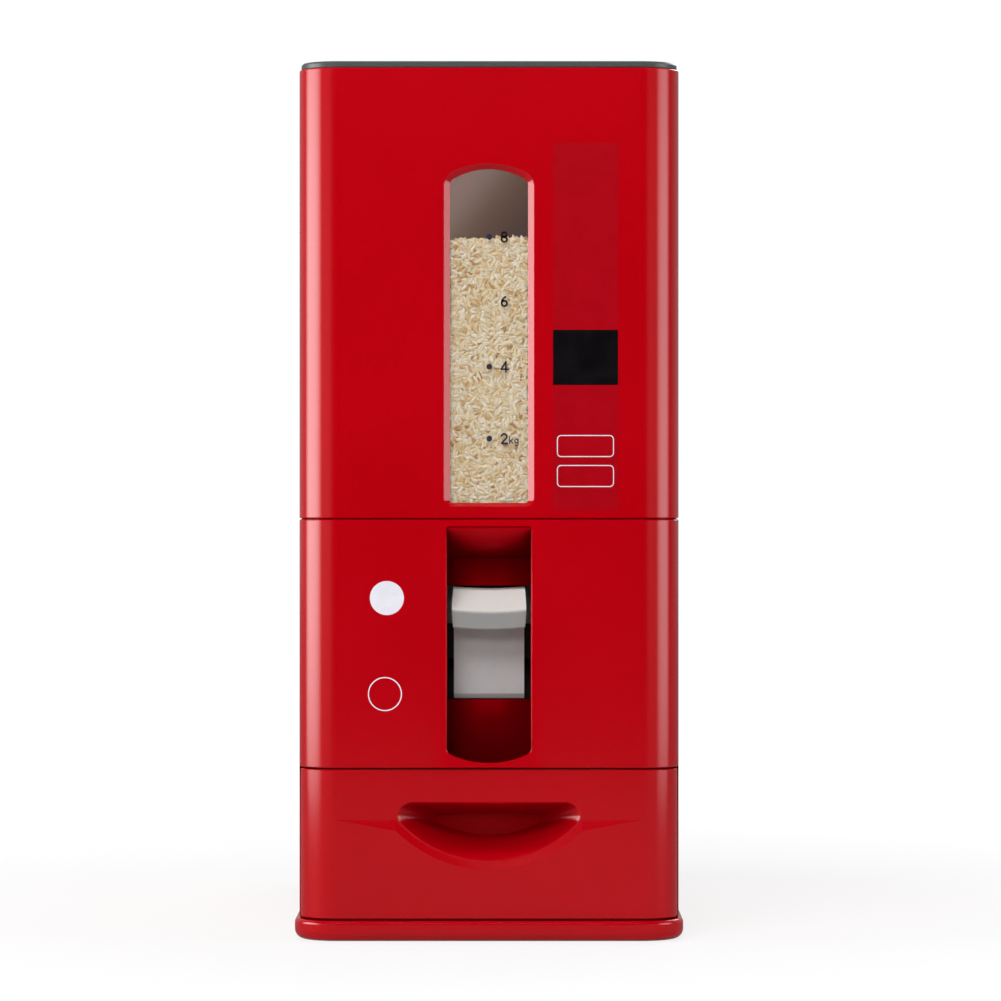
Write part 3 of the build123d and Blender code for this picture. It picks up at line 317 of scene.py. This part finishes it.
printLooks = {
    "redFilm": {"name": "vinyl film, red", "tones": ("#a90412", "#af0516"), "roughness": 0.18},
    "blackPrint": {"name": "vinyl film, black", "tones": ("#0b090b", "#131013"), "roughness": 0.25},
    "whitePrint": {"name": "screen print, white", "tones": ("#eae9f3", "#f1f0fa"), "roughness": 0.4},
    "markPrint": {"name": "screen print, slate blue", "tones": ("#25263c", "#2f3049"), "roughness": 0.4},
}
printSkin = {"ior": 1.5, "cloudMm": 8, "blotchEnds": (0.35, 0.65), "grainMm": 1.5, "depthMm": 0.0006}


def printed(look):
    # thin even ink or film, whose tone wavers a little where it was pressed on
    skin = printSkin
    material, tree, shader = newMaterial(look["name"], {"IOR": skin["ior"], "Roughness": look["roughness"]})
    ramp = mottled(tree, skin["cloudMm"], list(zip(skin["blotchEnds"], look["tones"])))[1]
    tree.links.new(ramp.outputs["Color"], shader.inputs["Base Color"])
    textured(tree, shader, skin["grainMm"], skin["depthMm"])
    return material


# how the rice looks

grainLook = {
    "tones": ((0.0, "#a6712e"), (0.06, "#d2b281"), (0.3, "#e0ccaa"), (0.7, "#e6d8c0"), (1.0, "#ebe2d6")),
    "core": ((0.35, "#f6ead6"), (0.65, "#ffffff")), "coreMm": 2.4,
    "ior": 1.45, "roughness": 0.5,
    "soak": 0.25, "soakMm": 1.2, "soakColours": (1.0, 0.8, 0.5),
    "paintedGlow": 0.07,                # painted glow, standing in for light through the tank's walls
}


def polishedRice():
    # every grain has its own tone, chalky to straw, and a cloudy core
    look = grainLook
    material, tree, shader = newMaterial("polished rice", {
        "IOR": look["ior"], "Roughness": look["roughness"], "Subsurface Weight": look["soak"],
        "Subsurface Scale": look["soakMm"] * mm, "Subsurface Radius": look["soakColours"],
        "Emission Strength": look["paintedGlow"]})
    own = addNode(tree, "ShaderNodeNewGeometry").outputs["Random Per Island"]
    tone = addNode(tree, "ShaderNodeValToRGB", links={0: own})
    setStops(tone, look["tones"])
    core = mottled(tree, look["coreMm"], look["core"])[1]
    mixed = addNode(tree, "ShaderNodeMix", {"data_type": "RGBA", "blend_type": "MULTIPLY", 0: 1.0},
                    {6: tone.outputs["Color"], 7: core.outputs["Color"]})
    # painted glow in each grain's own tone
    for goal in ("Base Color", "Emission Color"):
        tree.links.new(mixed.outputs[2], shader.inputs[goal])
    return material


heapLook = {
    "tones": ((0.38, "#9f6221"), (0.5, "#cba065"), (0.62, "#dabd95")),
    "ior": 1.45, "roughness": 0.6, "spotMm": 2.6, "depthMm": 0.3, "paintedGlow": 0.12,
}


def riceInDepth():
    # what shows between the grains: warm, and broken up at the size of a grain; its lighter tones are the
    # rice's own colour, its dark brown patches are painted shade between grains, and a painted glow in the
    # same tones lifts it
    look = heapLook
    material, tree, shader = newMaterial("rice in depth", {
        "IOR": look["ior"], "Roughness": look["roughness"], "Emission Strength": look["paintedGlow"]})
    ramp = mottled(tree, look["spotMm"], look["tones"])[1]
    # painted glow in the heap's own tones
    for goal in ("Base Color", "Emission Color"):
        tree.links.new(ramp.outputs["Color"], shader.inputs[goal])
    textured(tree, shader, look["spotMm"], look["depthMm"])
    return material


materials = {key: mouldedPlastic(look) for key, look in mouldedLooks.items()}
materials.update({key: printed(look) for key, look in printLooks.items()})
materials.update({key: paintShadeInRecesses(mouldedPlastic(mouldedLooks["red"]), recess)
                  for key, recess in paintedRecessShade.items()})
materials["smoky"] = paintTankGlow(materials["smoky"])
materials["lever"] = paintLightAndShadeOnLever(materials["lever"])
materials["pane"] = clearStyrene()
materials["steel"] = zincPlatedSteel()
materials["grain"] = polishedRice()
materials["heap"] = riceInDepth()

finishes = {
    "red": ["base_tray", "upper_casing"],
    "redWell": ["lower_casing"],
    "redScoop": ["drawer_front"],
    "slate": ["lid_flap", "lid_rear"],
    "lever": ["measuring_lever"],
    "smoky": ["rice_tank"],
    "milky": ["hopper", "inner_frame", "drawer_box"],
    "charcoal": ["meter_housing", "meter_cradle"],
    "acetal": ["metering_drum", "drum_end_left", "drum_end_right", "drawer_runners"],
    "blackAcetal": ["lever_carriage"],
    "pane": ["window_pane"],
    "heap": ["rice_fill"],
    "steel": ["base_screws", "housing_screws", "lever_screws", "drawer_screws", "lid_hinge_pins",
              "return_springs"],
    "rubber": ["rubber_feet"],
}
for finish, names in finishes.items():
    for name in names:
        slots = nodes[name].data.materials
        slots.clear()
        slots.append(materials[finish])
print("materials are on the pieces")


# thin shapes on the front

def newPiece(name, points, faces, finish, smooth=False):
    mesh = bpy.data.meshes.new(name)
    mesh.from_pydata(points, [], faces)
    mesh.update()
    mesh.materials.append(materials[finish])
    if smooth:
        mesh.shade_smooth()
    piece = bpy.data.objects.new(name, mesh)
    scene.collection.objects.link(piece)
    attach(piece, "housing")
    return piece


def roundedOutline(left, right, low, high, radius, steps=6):
    points = []
    corners = [(right - radius, high - radius, 0), (left + radius, high - radius, 90),
               (left + radius, low + radius, 180), (right - radius, low + radius, 270)]
    for x, z, start in corners:
        for step in range(steps + 1):
            angle = math.radians(start + 90 * step / steps)
            points.append((x + radius * math.cos(angle), z + radius * math.sin(angle)))
    return points


def circleOutline(x, z, radius, steps=48):
    turns = [2 * math.pi * step / steps for step in range(steps)]
    return [(x + radius * math.cos(turn), z + radius * math.sin(turn)) for turn in turns]


def thinShape(name, outline, back, thickness, finish, hole=None):
    # an outline in x and z, as thick as ink or film, whose back lies on a face that looks to -Y
    count = len(outline)
    rims = [outline] if hole is None else [outline, hole]
    points = [(x * mm, y * mm, z * mm) for rim in rims for y in (back - thickness, back) for x, z in rim]
    faces = [(i, (i + 1) % count, count + (i + 1) % count, count + i) for i in range(count)]
    if hole is None:
        faces += [tuple(range(count))[::-1], tuple(range(count, 2 * count))]
    for i in range(count if hole else 0):
        j = (i + 1) % count
        faces.append((i, 2 * count + i, 2 * count + j, j))
        faces.append((count + j, 3 * count + j, 3 * count + i, count + i))
        faces.append((2 * count + j, 2 * count + i, 3 * count + i, 3 * count + j))
    return newPiece(name, points, faces, finish)


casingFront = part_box("upper_casing")[0].y / mm
label = {
    "left": 32.7, "right": 65.9, "low": 220.6, "high": 408.1, "thickness": 0.08,
    "corner": 0.6, "cornerSteps": 3,
    "panelLow": 284.5, "panelHigh": 312.6, "panelCorner": 0.2, "panelCornerSteps": 2,
    "outlineLeft": 34.7, "outlineRight": 63.8, "outlineLows": (247.7, 232.4), "outlineHeight": 11.2,
    "outlineCorner": 2.2, "line": 0.45, "ink": 0.04,
}


def labelFilm():
    size = label
    film = roundedOutline(size["left"], size["right"], size["low"], size["high"], size["corner"],
                          size["cornerSteps"])
    thinShape("label_film", film, casingFront, size["thickness"], "redFilm")
    top = casingFront - size["thickness"]
    panel = roundedOutline(size["left"], size["right"], size["panelLow"], size["panelHigh"],
                           size["panelCorner"], size["panelCornerSteps"])
    thinShape("label_panel", panel, top, size["ink"], "blackPrint")
    left, right, line = size["outlineLeft"], size["outlineRight"], size["line"]
    for number, low in enumerate(size["outlineLows"], 1):
        high = low + size["outlineHeight"]
        outer = roundedOutline(left, right, low, high, size["outlineCorner"])
        inner = roundedOutline(left + line, right - line, low + line, high - line,
                               size["outlineCorner"] - line)
        thinShape(f"label_outline_{number}", outer, top, size["ink"], "whitePrint", inner)


spots = {"discAt": (-52.1, 175.7), "ringAt": (-53.1, 126.7), "radius": 8.7, "line": 0.55, "ink": 0.05}


def leverSpots():
    # a disc and a ring beside the lever, both left bare
    size = spots
    radius, ink = size["radius"], size["ink"]
    disc, ring = (circleOutline(*size[place], radius) for place in ("discAt", "ringAt"))
    hole = circleOutline(*size["ringAt"], radius - size["line"])
    thinShape("lever_disc", disc, casingFront, ink, "whitePrint")
    thinShape("lever_ring", ring, casingFront, ink, "whitePrint", hole)


labelFilm()
leverSpots()
print("label and spots")


# kilogram scale on the pane

scale = {
    "dotX": 0.2, "dotRadius": 1.45, "dotSteps": 24, "ink": 0.04, "line": 0.86, "endSteps": 12,
    "digitX": 6.1, "digitHeight": 5.5,
    "unitX": 10.3, "unitHeight": 3.6, "unitLift": 0.3,
    "unitPitch": 0.72, "unitLine": 0.6,          # shares of the unit's height and of the digits' line
    "levels": {"8": 360.2, "6": 327.3, "4": 293.9, "2": 257.1},
    "withoutDot": ("6",),
}


def bow(x, z, wide, tall, start, end, steps=14):
    turns = np.radians(np.linspace(start, end, steps))
    return [(x + wide * math.cos(turn), z + tall * math.sin(turn)) for turn in turns]


strokes = {
    # each figure's strokes, where it stands on 0 and is 1 high
    "2": [bow(0.3, 0.69, 0.25, 0.25, 165, -38) + [(0.06, 0.06), (0.6, 0.06)]],
    "4": [[(0.46, 0.0), (0.46, 0.94), (0.02, 0.26), (0.66, 0.26)]],
    "6": [bow(0.32, 0.3, 0.25, 0.25, 0, 360, 24), bow(0.64, 0.3, 0.57, 0.66, 180, 112)],
    "8": [bow(0.31, 0.27, 0.26, 0.23, 0, 360, 24), bow(0.31, 0.73, 0.22, 0.21, 0, 360, 24)],
    "k": [[(0.08, 0.0), (0.08, 1.0)], [(0.5, 0.64), (0.12, 0.28)], [(0.24, 0.4), (0.54, 0.0)]],
    "g": [bow(0.32, 0.34, 0.22, 0.28, 0, 360, 20),
          [(0.56, 0.62)] + bow(0.34, -0.12, 0.22, 0.2, 0, -150, 8)],
}


def inkedStrokes(name, figure, left, low, height, line, back):
    # flat bars with round ends along each stroke, printed on a face that looks to -Y
    points, faces = [], []
    for stroke in strokes[figure]:
        path = [np.array(point) * height + np.array((left, low)) for point in stroke]
        for here, after in zip(path, path[1:]):
            run = after - here
            side = np.array((-run[1], run[0])) / np.linalg.norm(run) * line / 2
            first = len(points)
            points += [here - side, after - side, after + side, here + side]
            faces.append(tuple(range(first, first + 4)))
        for x, z in path:
            first = len(points)
            points += circleOutline(x, z, line / 2, scale["endSteps"])
            faces.append(tuple(range(first, len(points))))
    front = (back - scale["ink"]) * mm
    newPiece(name, [(x * mm, front, z * mm) for x, z in points], faces, "markPrint")


def kilogramScale():
    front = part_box("window_pane")[0].y / mm
    size = scale
    for digit, z in size["levels"].items():
        low = z - size["digitHeight"] / 2
        inkedStrokes(f"scale_{digit}", digit, size["digitX"], low, size["digitHeight"], size["line"], front)
        if digit not in size["withoutDot"]:
            dot = circleOutline(size["dotX"], z, size["dotRadius"], size["dotSteps"])
            thinShape(f"scale_dot_{digit}", dot, front, size["ink"], "markPrint")
    low = size["levels"]["2"] - size["digitHeight"] / 2 + size["unitLift"]
    height, line = size["unitHeight"], size["unitLine"] * size["line"]
    for number, figure in enumerate("kg"):
        left = size["unitX"] + number * size["unitPitch"] * height
        inkedStrokes(f"scale_unit_{number + 1}", figure, left, low, height, line, front)


kilogramScale()
print("scale on the pane")


# the rice itself

riceSurface = {
    # the level in the middle, its rise to the right, and two waves: height, length and slice of the noise
    "level": 359.2, "slope": 0.016,
    "swell": 1.6, "swellMm": 26, "swellSlice": 3.1,
    "ripple": 0.6, "rippleMm": 7, "rippleSlice": 8.4,
}


def riceTop(x, y):
    top = riceSurface
    wave = noise.noise(Vector((x / top["swellMm"], y / top["swellMm"], top["swellSlice"])))
    ripple = noise.noise(Vector((x / top["rippleMm"], y / top["rippleMm"], top["rippleSlice"])))
    return top["level"] + top["slope"] * x + top["swell"] * wave + top["ripple"] * ripple


grain = {
    "length": (4.8, 6.0), "width": (1.9, 2.4), "flatness": 0.8,
    "blunt": 0.62,                       # 1 gives pointed ends and 0.5 round ones
    "belly": 1.06, "taper": 0.12,        # share of the width towards one end, and how much less at the other
    "rings": 5, "sides": 6,
    "tip": 0.2,                          # how far it usually tips out of its layer, in radians
    "stray": 0.55,                       # how far it may lie from its grid point, in spacings
}


def grainShape():
    # one grain along X, a unit long, a little finer towards one end
    rings, sides = grain["rings"], grain["sides"]
    turns = [2 * math.pi * side / sides for side in range(sides)]
    points = [(-0.5, 0.0, 0.0)]
    for ring in range(1, rings + 1):
        along = ring / (rings + 1)
        radius = 0.5 * math.sin(math.pi * along) ** grain["blunt"] * (grain["belly"] - grain["taper"] * along)
        points += [(along - 0.5, radius * math.cos(turn), radius * math.sin(turn)) for turn in turns]
    points.append((0.5, 0.0, 0.0))
    faces = [(0, 1 + (side + 1) % sides, 1 + side) for side in range(sides)]
    for ring in range(rings - 1):
        start = 1 + ring * sides
        faces += [(start + side, start + (side + 1) % sides, start + sides + (side + 1) % sides,
                   start + sides + side) for side in range(sides)]
    start = 1 + (rings - 1) * sides
    faces += [(len(points) - 1, start + side, start + (side + 1) % sides) for side in range(sides)]
    return np.array(points), faces


def turned(points, aboutZ, aboutY, aboutX):
    # about X first, then about Y, then about Z
    cosX, cosY, cosZ = (np.cos(angle) for angle in (aboutX, aboutY, aboutZ))
    sinX, sinY, sinZ = (np.sin(angle) for angle in (aboutX, aboutY, aboutZ))
    turnX = np.array([[1, 0, 0], [0, cosX, -sinX], [0, sinX, cosX]])
    turnY = np.array([[cosY, 0, sinY], [0, 1, 0], [-sinY, 0, cosY]])
    turnZ = np.array([[cosZ, -sinZ, 0], [sinZ, cosZ, 0], [0, 0, 1]])
    return points @ (turnZ @ turnY @ turnX).T


def layGrains(name, places, upright, draw):
    # upright grains lie against the pane, the others on the top of the rice
    shape, shapeFaces = grainShape()
    points, faces = [], []
    for number, place in enumerate(places):
        width = draw.uniform(*grain["width"])
        body = shape * np.array([draw.uniform(*grain["length"]), width, width * grain["flatness"]])
        heading = draw.uniform(0, 2 * math.pi)
        tip = draw.normal(0, grain["tip"])
        roll = draw.uniform(0, math.pi)
        body = turned(body, tip, heading, roll) if upright else turned(body, heading, tip, roll)
        points.append((body + np.array(place)) * mm)
        start = number * len(shape)
        faces += [tuple(start + i for i in face) for face in shapeFaces]
    newPiece(name, np.concatenate(points).tolist(), faces, "grain", smooth=True)
    return len(places)


def scattered(left, right, low, high, spacing, draw):
    across, up = np.arange(left, right, spacing), np.arange(low, high, spacing)
    grid = np.array([(a, u) for u in up for a in across])
    return grid + draw.uniform(-grain["stray"], grain["stray"], grid.shape) * spacing


windowRice = {
    # layers are distances behind the pane; above is how far the grid goes past the level, and edge and
    # below keep grains off the grid's sides and out of the rice's top
    "seed": 7, "half": 21.3, "low": 222.8, "above": 2, "spacing": 2.0,
    "layers": (1.05, 1.6, 2.2), "layerDepth": 0.25, "edge": 0.4, "below": 0.6,
}


def windowGrains():
    size = windowRice
    draw = np.random.default_rng(size["seed"])
    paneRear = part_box("window_pane")[1].y / mm
    half, low, high = size["half"], size["low"], riceSurface["level"] + size["above"]
    places = []
    for layer in size["layers"]:
        for x, z in scattered(-half, half, low, high, size["spacing"], draw):
            y = paneRear + layer + draw.uniform(0, size["layerDepth"])
            if abs(x) < half - size["edge"] and low < z < riceTop(x, y) - size["below"]:
                places.append((x, y, z))
    return layGrains("rice_window_grains", places, True, draw)


topRice = {
    # the grid's distance from the rice's sides, front and rear, and how near to those a grain may stray
    "seed": 8, "spacing": 3.3, "lift": (-0.5, 0.3),
    "sides": 3, "front": 5, "rear": 3,
    "straySides": 2.5, "strayFront": 4, "strayRear": 3,
}


def topGrains():
    size = topRice
    draw = np.random.default_rng(size["seed"])
    low, high = (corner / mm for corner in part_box("rice_fill"))
    half, front, rear = high.x - size["straySides"], low.y + size["strayFront"], high.y - size["strayRear"]
    places = []
    for x, y in scattered(low.x + size["sides"], high.x - size["sides"], low.y + size["front"],
                          high.y - size["rear"], size["spacing"], draw):
        if abs(x) < half and front < y < rear:
            places.append((x, y, riceTop(x, y) + draw.uniform(*size["lift"])))
    return layGrains("rice_top_grains", places, False, draw)


heap = {
    "front": 2.9, "below": 0.7,          # behind the front of the tank's rice, and below the top grains
    "across": 45, "along": 89,           # points of its grid
    "floor": 216.2, "slopeStart": 20.0, "slopeAngle": 21, "slopeLift": 0.4,
}


def riceHeap():
    # the mass of the rice: uneven on top, flat over the funnel's mouth, rising with the tank's floor behind
    size = heap
    low, high = (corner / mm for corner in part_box("rice_fill"))
    slope = math.tan(math.radians(size["slopeAngle"]))
    across = np.linspace(low.x, high.x, size["across"])
    along = np.linspace(low.y + size["front"], high.y, size["along"])
    top = [(x, y, riceTop(x, y) - size["below"]) for y in along for x in across]
    rise = [max(0, (y - size["slopeStart"]) * slope + size["slopeLift"]) for y in along]
    under = [(x, y, size["floor"] + lift) for y, lift in zip(along, rise) for x in across]
    points = [(x * mm, y * mm, z * mm) for x, y, z in top + under]
    wide, shadedPigment = size["across"], size["along"]
    below = wide * shadedPigment
    faces = []
    for j in range(shadedPigment - 1):
        for a in range(j * wide, j * wide + wide - 1):
            faces.append((a, a + 1, a + wide + 1, a + wide))
            faces.append((below + a, below + a + wide, below + a + wide + 1, below + a + 1))
    front = list(range(wide))
    right = [j * wide + wide - 1 for j in range(1, shadedPigment)]
    rear = [(shadedPigment - 1) * wide + i for i in range(wide - 2, -1, -1)]
    left = [j * wide for j in range(shadedPigment - 2, 0, -1)]
    edge = front + right + rear + left
    for here, after in zip(edge, edge[1:] + edge[:1]):
        faces.append((here, below + here, below + after, after))
    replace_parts(newPiece("rice_heap", points, faces, "heap"), "rice_fill")


riceHeap()
print("grains at the window and on top:", windowGrains(), topGrains())


# floor, light and camera

floorLook = {
    # near the object the share shadeNear of what the camera sees is the lit paper with its shadow,
    # and from fadeFrom to fadeTo that fades out to plain white
    "left": -6000, "right": 6000, "front": -1500, "rear": 6000, "colour": "#dcdcdc", "roughness": 0.9,
    "shadeNear": 0.25, "fadeFrom": 250, "fadeTo": 900, "seen": 1.06, "mirrored": 0.2,
}


def paleFloor():
    look = floorLook
    left, right, front, rear = (look[side] * mm for side in ("left", "right", "front", "rear"))
    corners = [(left, front, 0), (right, front, 0), (right, rear, 0), (left, rear, 0)]
    mesh = bpy.data.meshes.new("floor")
    mesh.from_pydata(corners, [], [(0, 1, 2, 3)])
    material, tree, shader = newMaterial("matt white paper", {
        "Roughness": look["roughness"], "Base Color": linear(look["colour"]), "Specular IOR Level": 0.0})
    path = addNode(tree, "ShaderNodeLightPath")
    place = addNode(tree, "ShaderNodeTexCoord").outputs["Object"]
    distance = addNode(tree, "ShaderNodeVectorMath", {"operation": "LENGTH"}, {0: place})
    cover = addNode(tree, "ShaderNodeMapRange", {
        "From Min": look["fadeFrom"] * mm, "From Max": look["fadeTo"] * mm,
        "To Min": 1 - look["shadeNear"]}, {"Value": distance.outputs["Value"]})
    seen = addNode(tree, "ShaderNodeMath", {"operation": "MAXIMUM"},
                   {0: path.outputs["Is Camera Ray"], 1: path.outputs["Is Transmission Ray"]})
    covered = addNode(tree, "ShaderNodeMath", {"operation": "MULTIPLY"},
                      {0: seen.outputs[0], 1: cover.outputs[0]})
    share = addNode(tree, "ShaderNodeMath", {"operation": "MAXIMUM"},
                    {0: covered.outputs[0], 1: path.outputs["Is Glossy Ray"]})
    dimmed = addNode(tree, "ShaderNodeMapRange", {"To Min": look["seen"], "To Max": look["mirrored"]},
                     {"Value": path.outputs["Is Glossy Ray"]})
    paper = addNode(tree, "ShaderNodeEmission", {"Color": (1, 1, 1, 1)}, {"Strength": dimmed.outputs[0]})
    mix = addNode(tree, "ShaderNodeMixShader", links={0: share.outputs[0], 1: shader.outputs[0],
                                                      2: paper.outputs[0]})
    tree.links.new(mix.outputs[0], tree.nodes["Material Output"].inputs["Surface"])
    mesh.materials.append(material)
    floor = bpy.data.objects.new("floor", mesh)
    scene.collection.objects.link(floor)


# the mirrored white starts level with the object and is full where a direction's Y reaches behindFull
studio = {"ambient": 0.06, "mirroredBehind": 0.35, "behindFull": 0.6}


def studioWorld():
    # white where it is looked at, dim for the light it gives, mirrored only behind the object
    world = bpy.data.worlds.new("studio")
    scene.world = world
    world.use_nodes = True
    tree = world.node_tree
    path = addNode(tree, "ShaderNodeLightPath")
    where = addNode(tree, "ShaderNodeSeparateXYZ",
                    links={0: addNode(tree, "ShaderNodeTexCoord").outputs["Generated"]})
    behind = addNode(tree, "ShaderNodeMapRange", {
        "From Max": studio["behindFull"], "To Max": studio["mirroredBehind"]},
        {"Value": where.outputs["Y"]})
    mirrored = addNode(tree, "ShaderNodeMath", {"operation": "MULTIPLY"},
                       {0: path.outputs["Is Glossy Ray"], 1: behind.outputs[0]})
    ambient = addNode(tree, "ShaderNodeMath", {"operation": "MULTIPLY_ADD", 1: studio["ambient"]},
                      {0: path.outputs["Is Diffuse Ray"], 2: mirrored.outputs[0]})
    seen = addNode(tree, "ShaderNodeMath", {"operation": "MAXIMUM"},
                   {0: path.outputs["Is Camera Ray"], 1: path.outputs["Is Transmission Ray"]})
    total = addNode(tree, "ShaderNodeMath", {"operation": "ADD"},
                    {0: seen.outputs[0], 1: ambient.outputs[0]})
    background = tree.nodes["Background"]
    background.inputs["Color"].default_value = (1, 1, 1, 1)
    tree.links.new(total.outputs[0], background.inputs["Strength"])


lamps = {
    # place, aim and size in millimetres; strength is the brightness of the middle; a soft of 1 fades from
    # the middle to the edge, and a smaller one leaves the middle even; "only" keeps a lamp to mirrored or
    # to diffuse light
    "left strip": {"at": (-1135, -365, 330), "aim": (-90, -180, 330), "size": (1330, 860), "strength": 7.2,
                   "soft": 1.0, "only": "mirrored"},
    "left tail": {"at": (-900, -1300, 330), "aim": (-90, -180, 330), "size": (1200, 860), "strength": 0.45,
                  "soft": 1.0, "only": "mirrored"},
    "right strip": {"at": (1100, -500, 330), "aim": (90, -180, 330), "size": (960, 860), "strength": 3.6,
                    "soft": 1.0, "only": "mirrored"},
    "right tail": {"at": (900, -1300, 330), "aim": (90, -180, 330), "size": (1100, 860), "strength": 0.32,
                   "soft": 1.0, "only": "mirrored"},
    "high front": {"at": (-340, -1240, 1490), "aim": (0, -187, 200), "size": (1300, 700), "strength": 10.5,
                   "soft": 0.9, "only": "diffuse"},
    "low front": {"at": (-400, -2350, 1150), "aim": (0, -187, 100), "size": (1600, 700), "strength": 8.2,
                  "soft": 0.9, "only": "diffuse"},
    "left side": {"at": (-1700, -300, 700), "aim": (-95, 0, 230), "size": (1100, 900), "strength": 8.5,
                  "soft": 0.9, "only": "diffuse"},
    "right side": {"at": (1700, -300, 700), "aim": (95, 0, 230), "size": (1100, 900), "strength": 5.5,
                   "soft": 0.9, "only": "diffuse"},
    "overhead": {"at": (0, 100, 1700), "aim": (0, 0, 450), "size": (1200, 1400), "strength": 1.2,
                 "soft": 0.5, "only": "diffuse"},
    "rear": {"at": (400, 1600, 1300), "aim": (0, 187, 230), "size": (1500, 1200), "strength": 3.6,
             "soft": 0.5},
}


def softBox(light, soft):
    # place runs from 0 to 1 across the lamp, and place times the rest is a quarter in the middle
    light.use_nodes = True
    tree = light.node_tree
    place = addNode(tree, "ShaderNodeNewGeometry").outputs["Parametric"]
    rest = addNode(tree, "ShaderNodeVectorMath", {"operation": "SUBTRACT", 0: (1, 1, 1)}, {1: place})
    hill = addNode(tree, "ShaderNodeVectorMath", {"operation": "MULTIPLY"}, {0: place, 1: rest.outputs[0]})
    sides = addNode(tree, "ShaderNodeSeparateXYZ", links={0: hill.outputs[0]})
    across, up = (addNode(tree, "ShaderNodeMapRange", {
        "interpolation_type": "SMOOTHSTEP", "From Max": soft / 4},
        {"Value": sides.outputs[side]}) for side in ("X", "Y"))
    both = addNode(tree, "ShaderNodeMath", {"operation": "MULTIPLY"},
                   {0: across.outputs[0], 1: up.outputs[0]})
    tree.links.new(both.outputs[0], tree.nodes["Emission"].inputs["Strength"])


def softLamps():
    for name, lamp in lamps.items():
        wide, tall = (side * mm for side in lamp["size"])
        light = bpy.data.lights.new(name, "AREA")
        light.shape = "RECTANGLE"
        light.size = wide
        light.size_y = tall
        light.energy = lamp["strength"] * math.pi * wide * tall
        softBox(light, lamp["soft"])
        item = bpy.data.objects.new(name, light)
        item.location = Vector(lamp["at"]) * mm
        item.rotation_euler = (Vector(lamp["aim"]) - Vector(lamp["at"])).to_track_quat("-Z", "Y").to_euler()
        item.visible_diffuse = lamp.get("only") != "mirrored"
        item.visible_glossy = lamp.get("only") != "diffuse"
        item.visible_transmission = item.visible_glossy
        scene.collection.objects.link(item)


view = {"at": (5.9, -2387, 225.5), "lens": 155, "sensor": 36, "clipEndM": 50}


def frontCamera():
    # level, and square to the front
    camera = bpy.data.cameras.new("camera")
    camera.lens = view["lens"]
    camera.sensor_width = view["sensor"]
    camera.clip_end = view["clipEndM"]
    item = bpy.data.objects.new("camera", camera)
    item.location = Vector(view["at"]) * mm
    item.rotation_euler = (math.pi / 2, 0, 0)
    scene.collection.objects.link(item)
    scene.camera = item


paleFloor()
studioWorld()
softLamps()
frontCamera()
print("floor, lamps and camera")
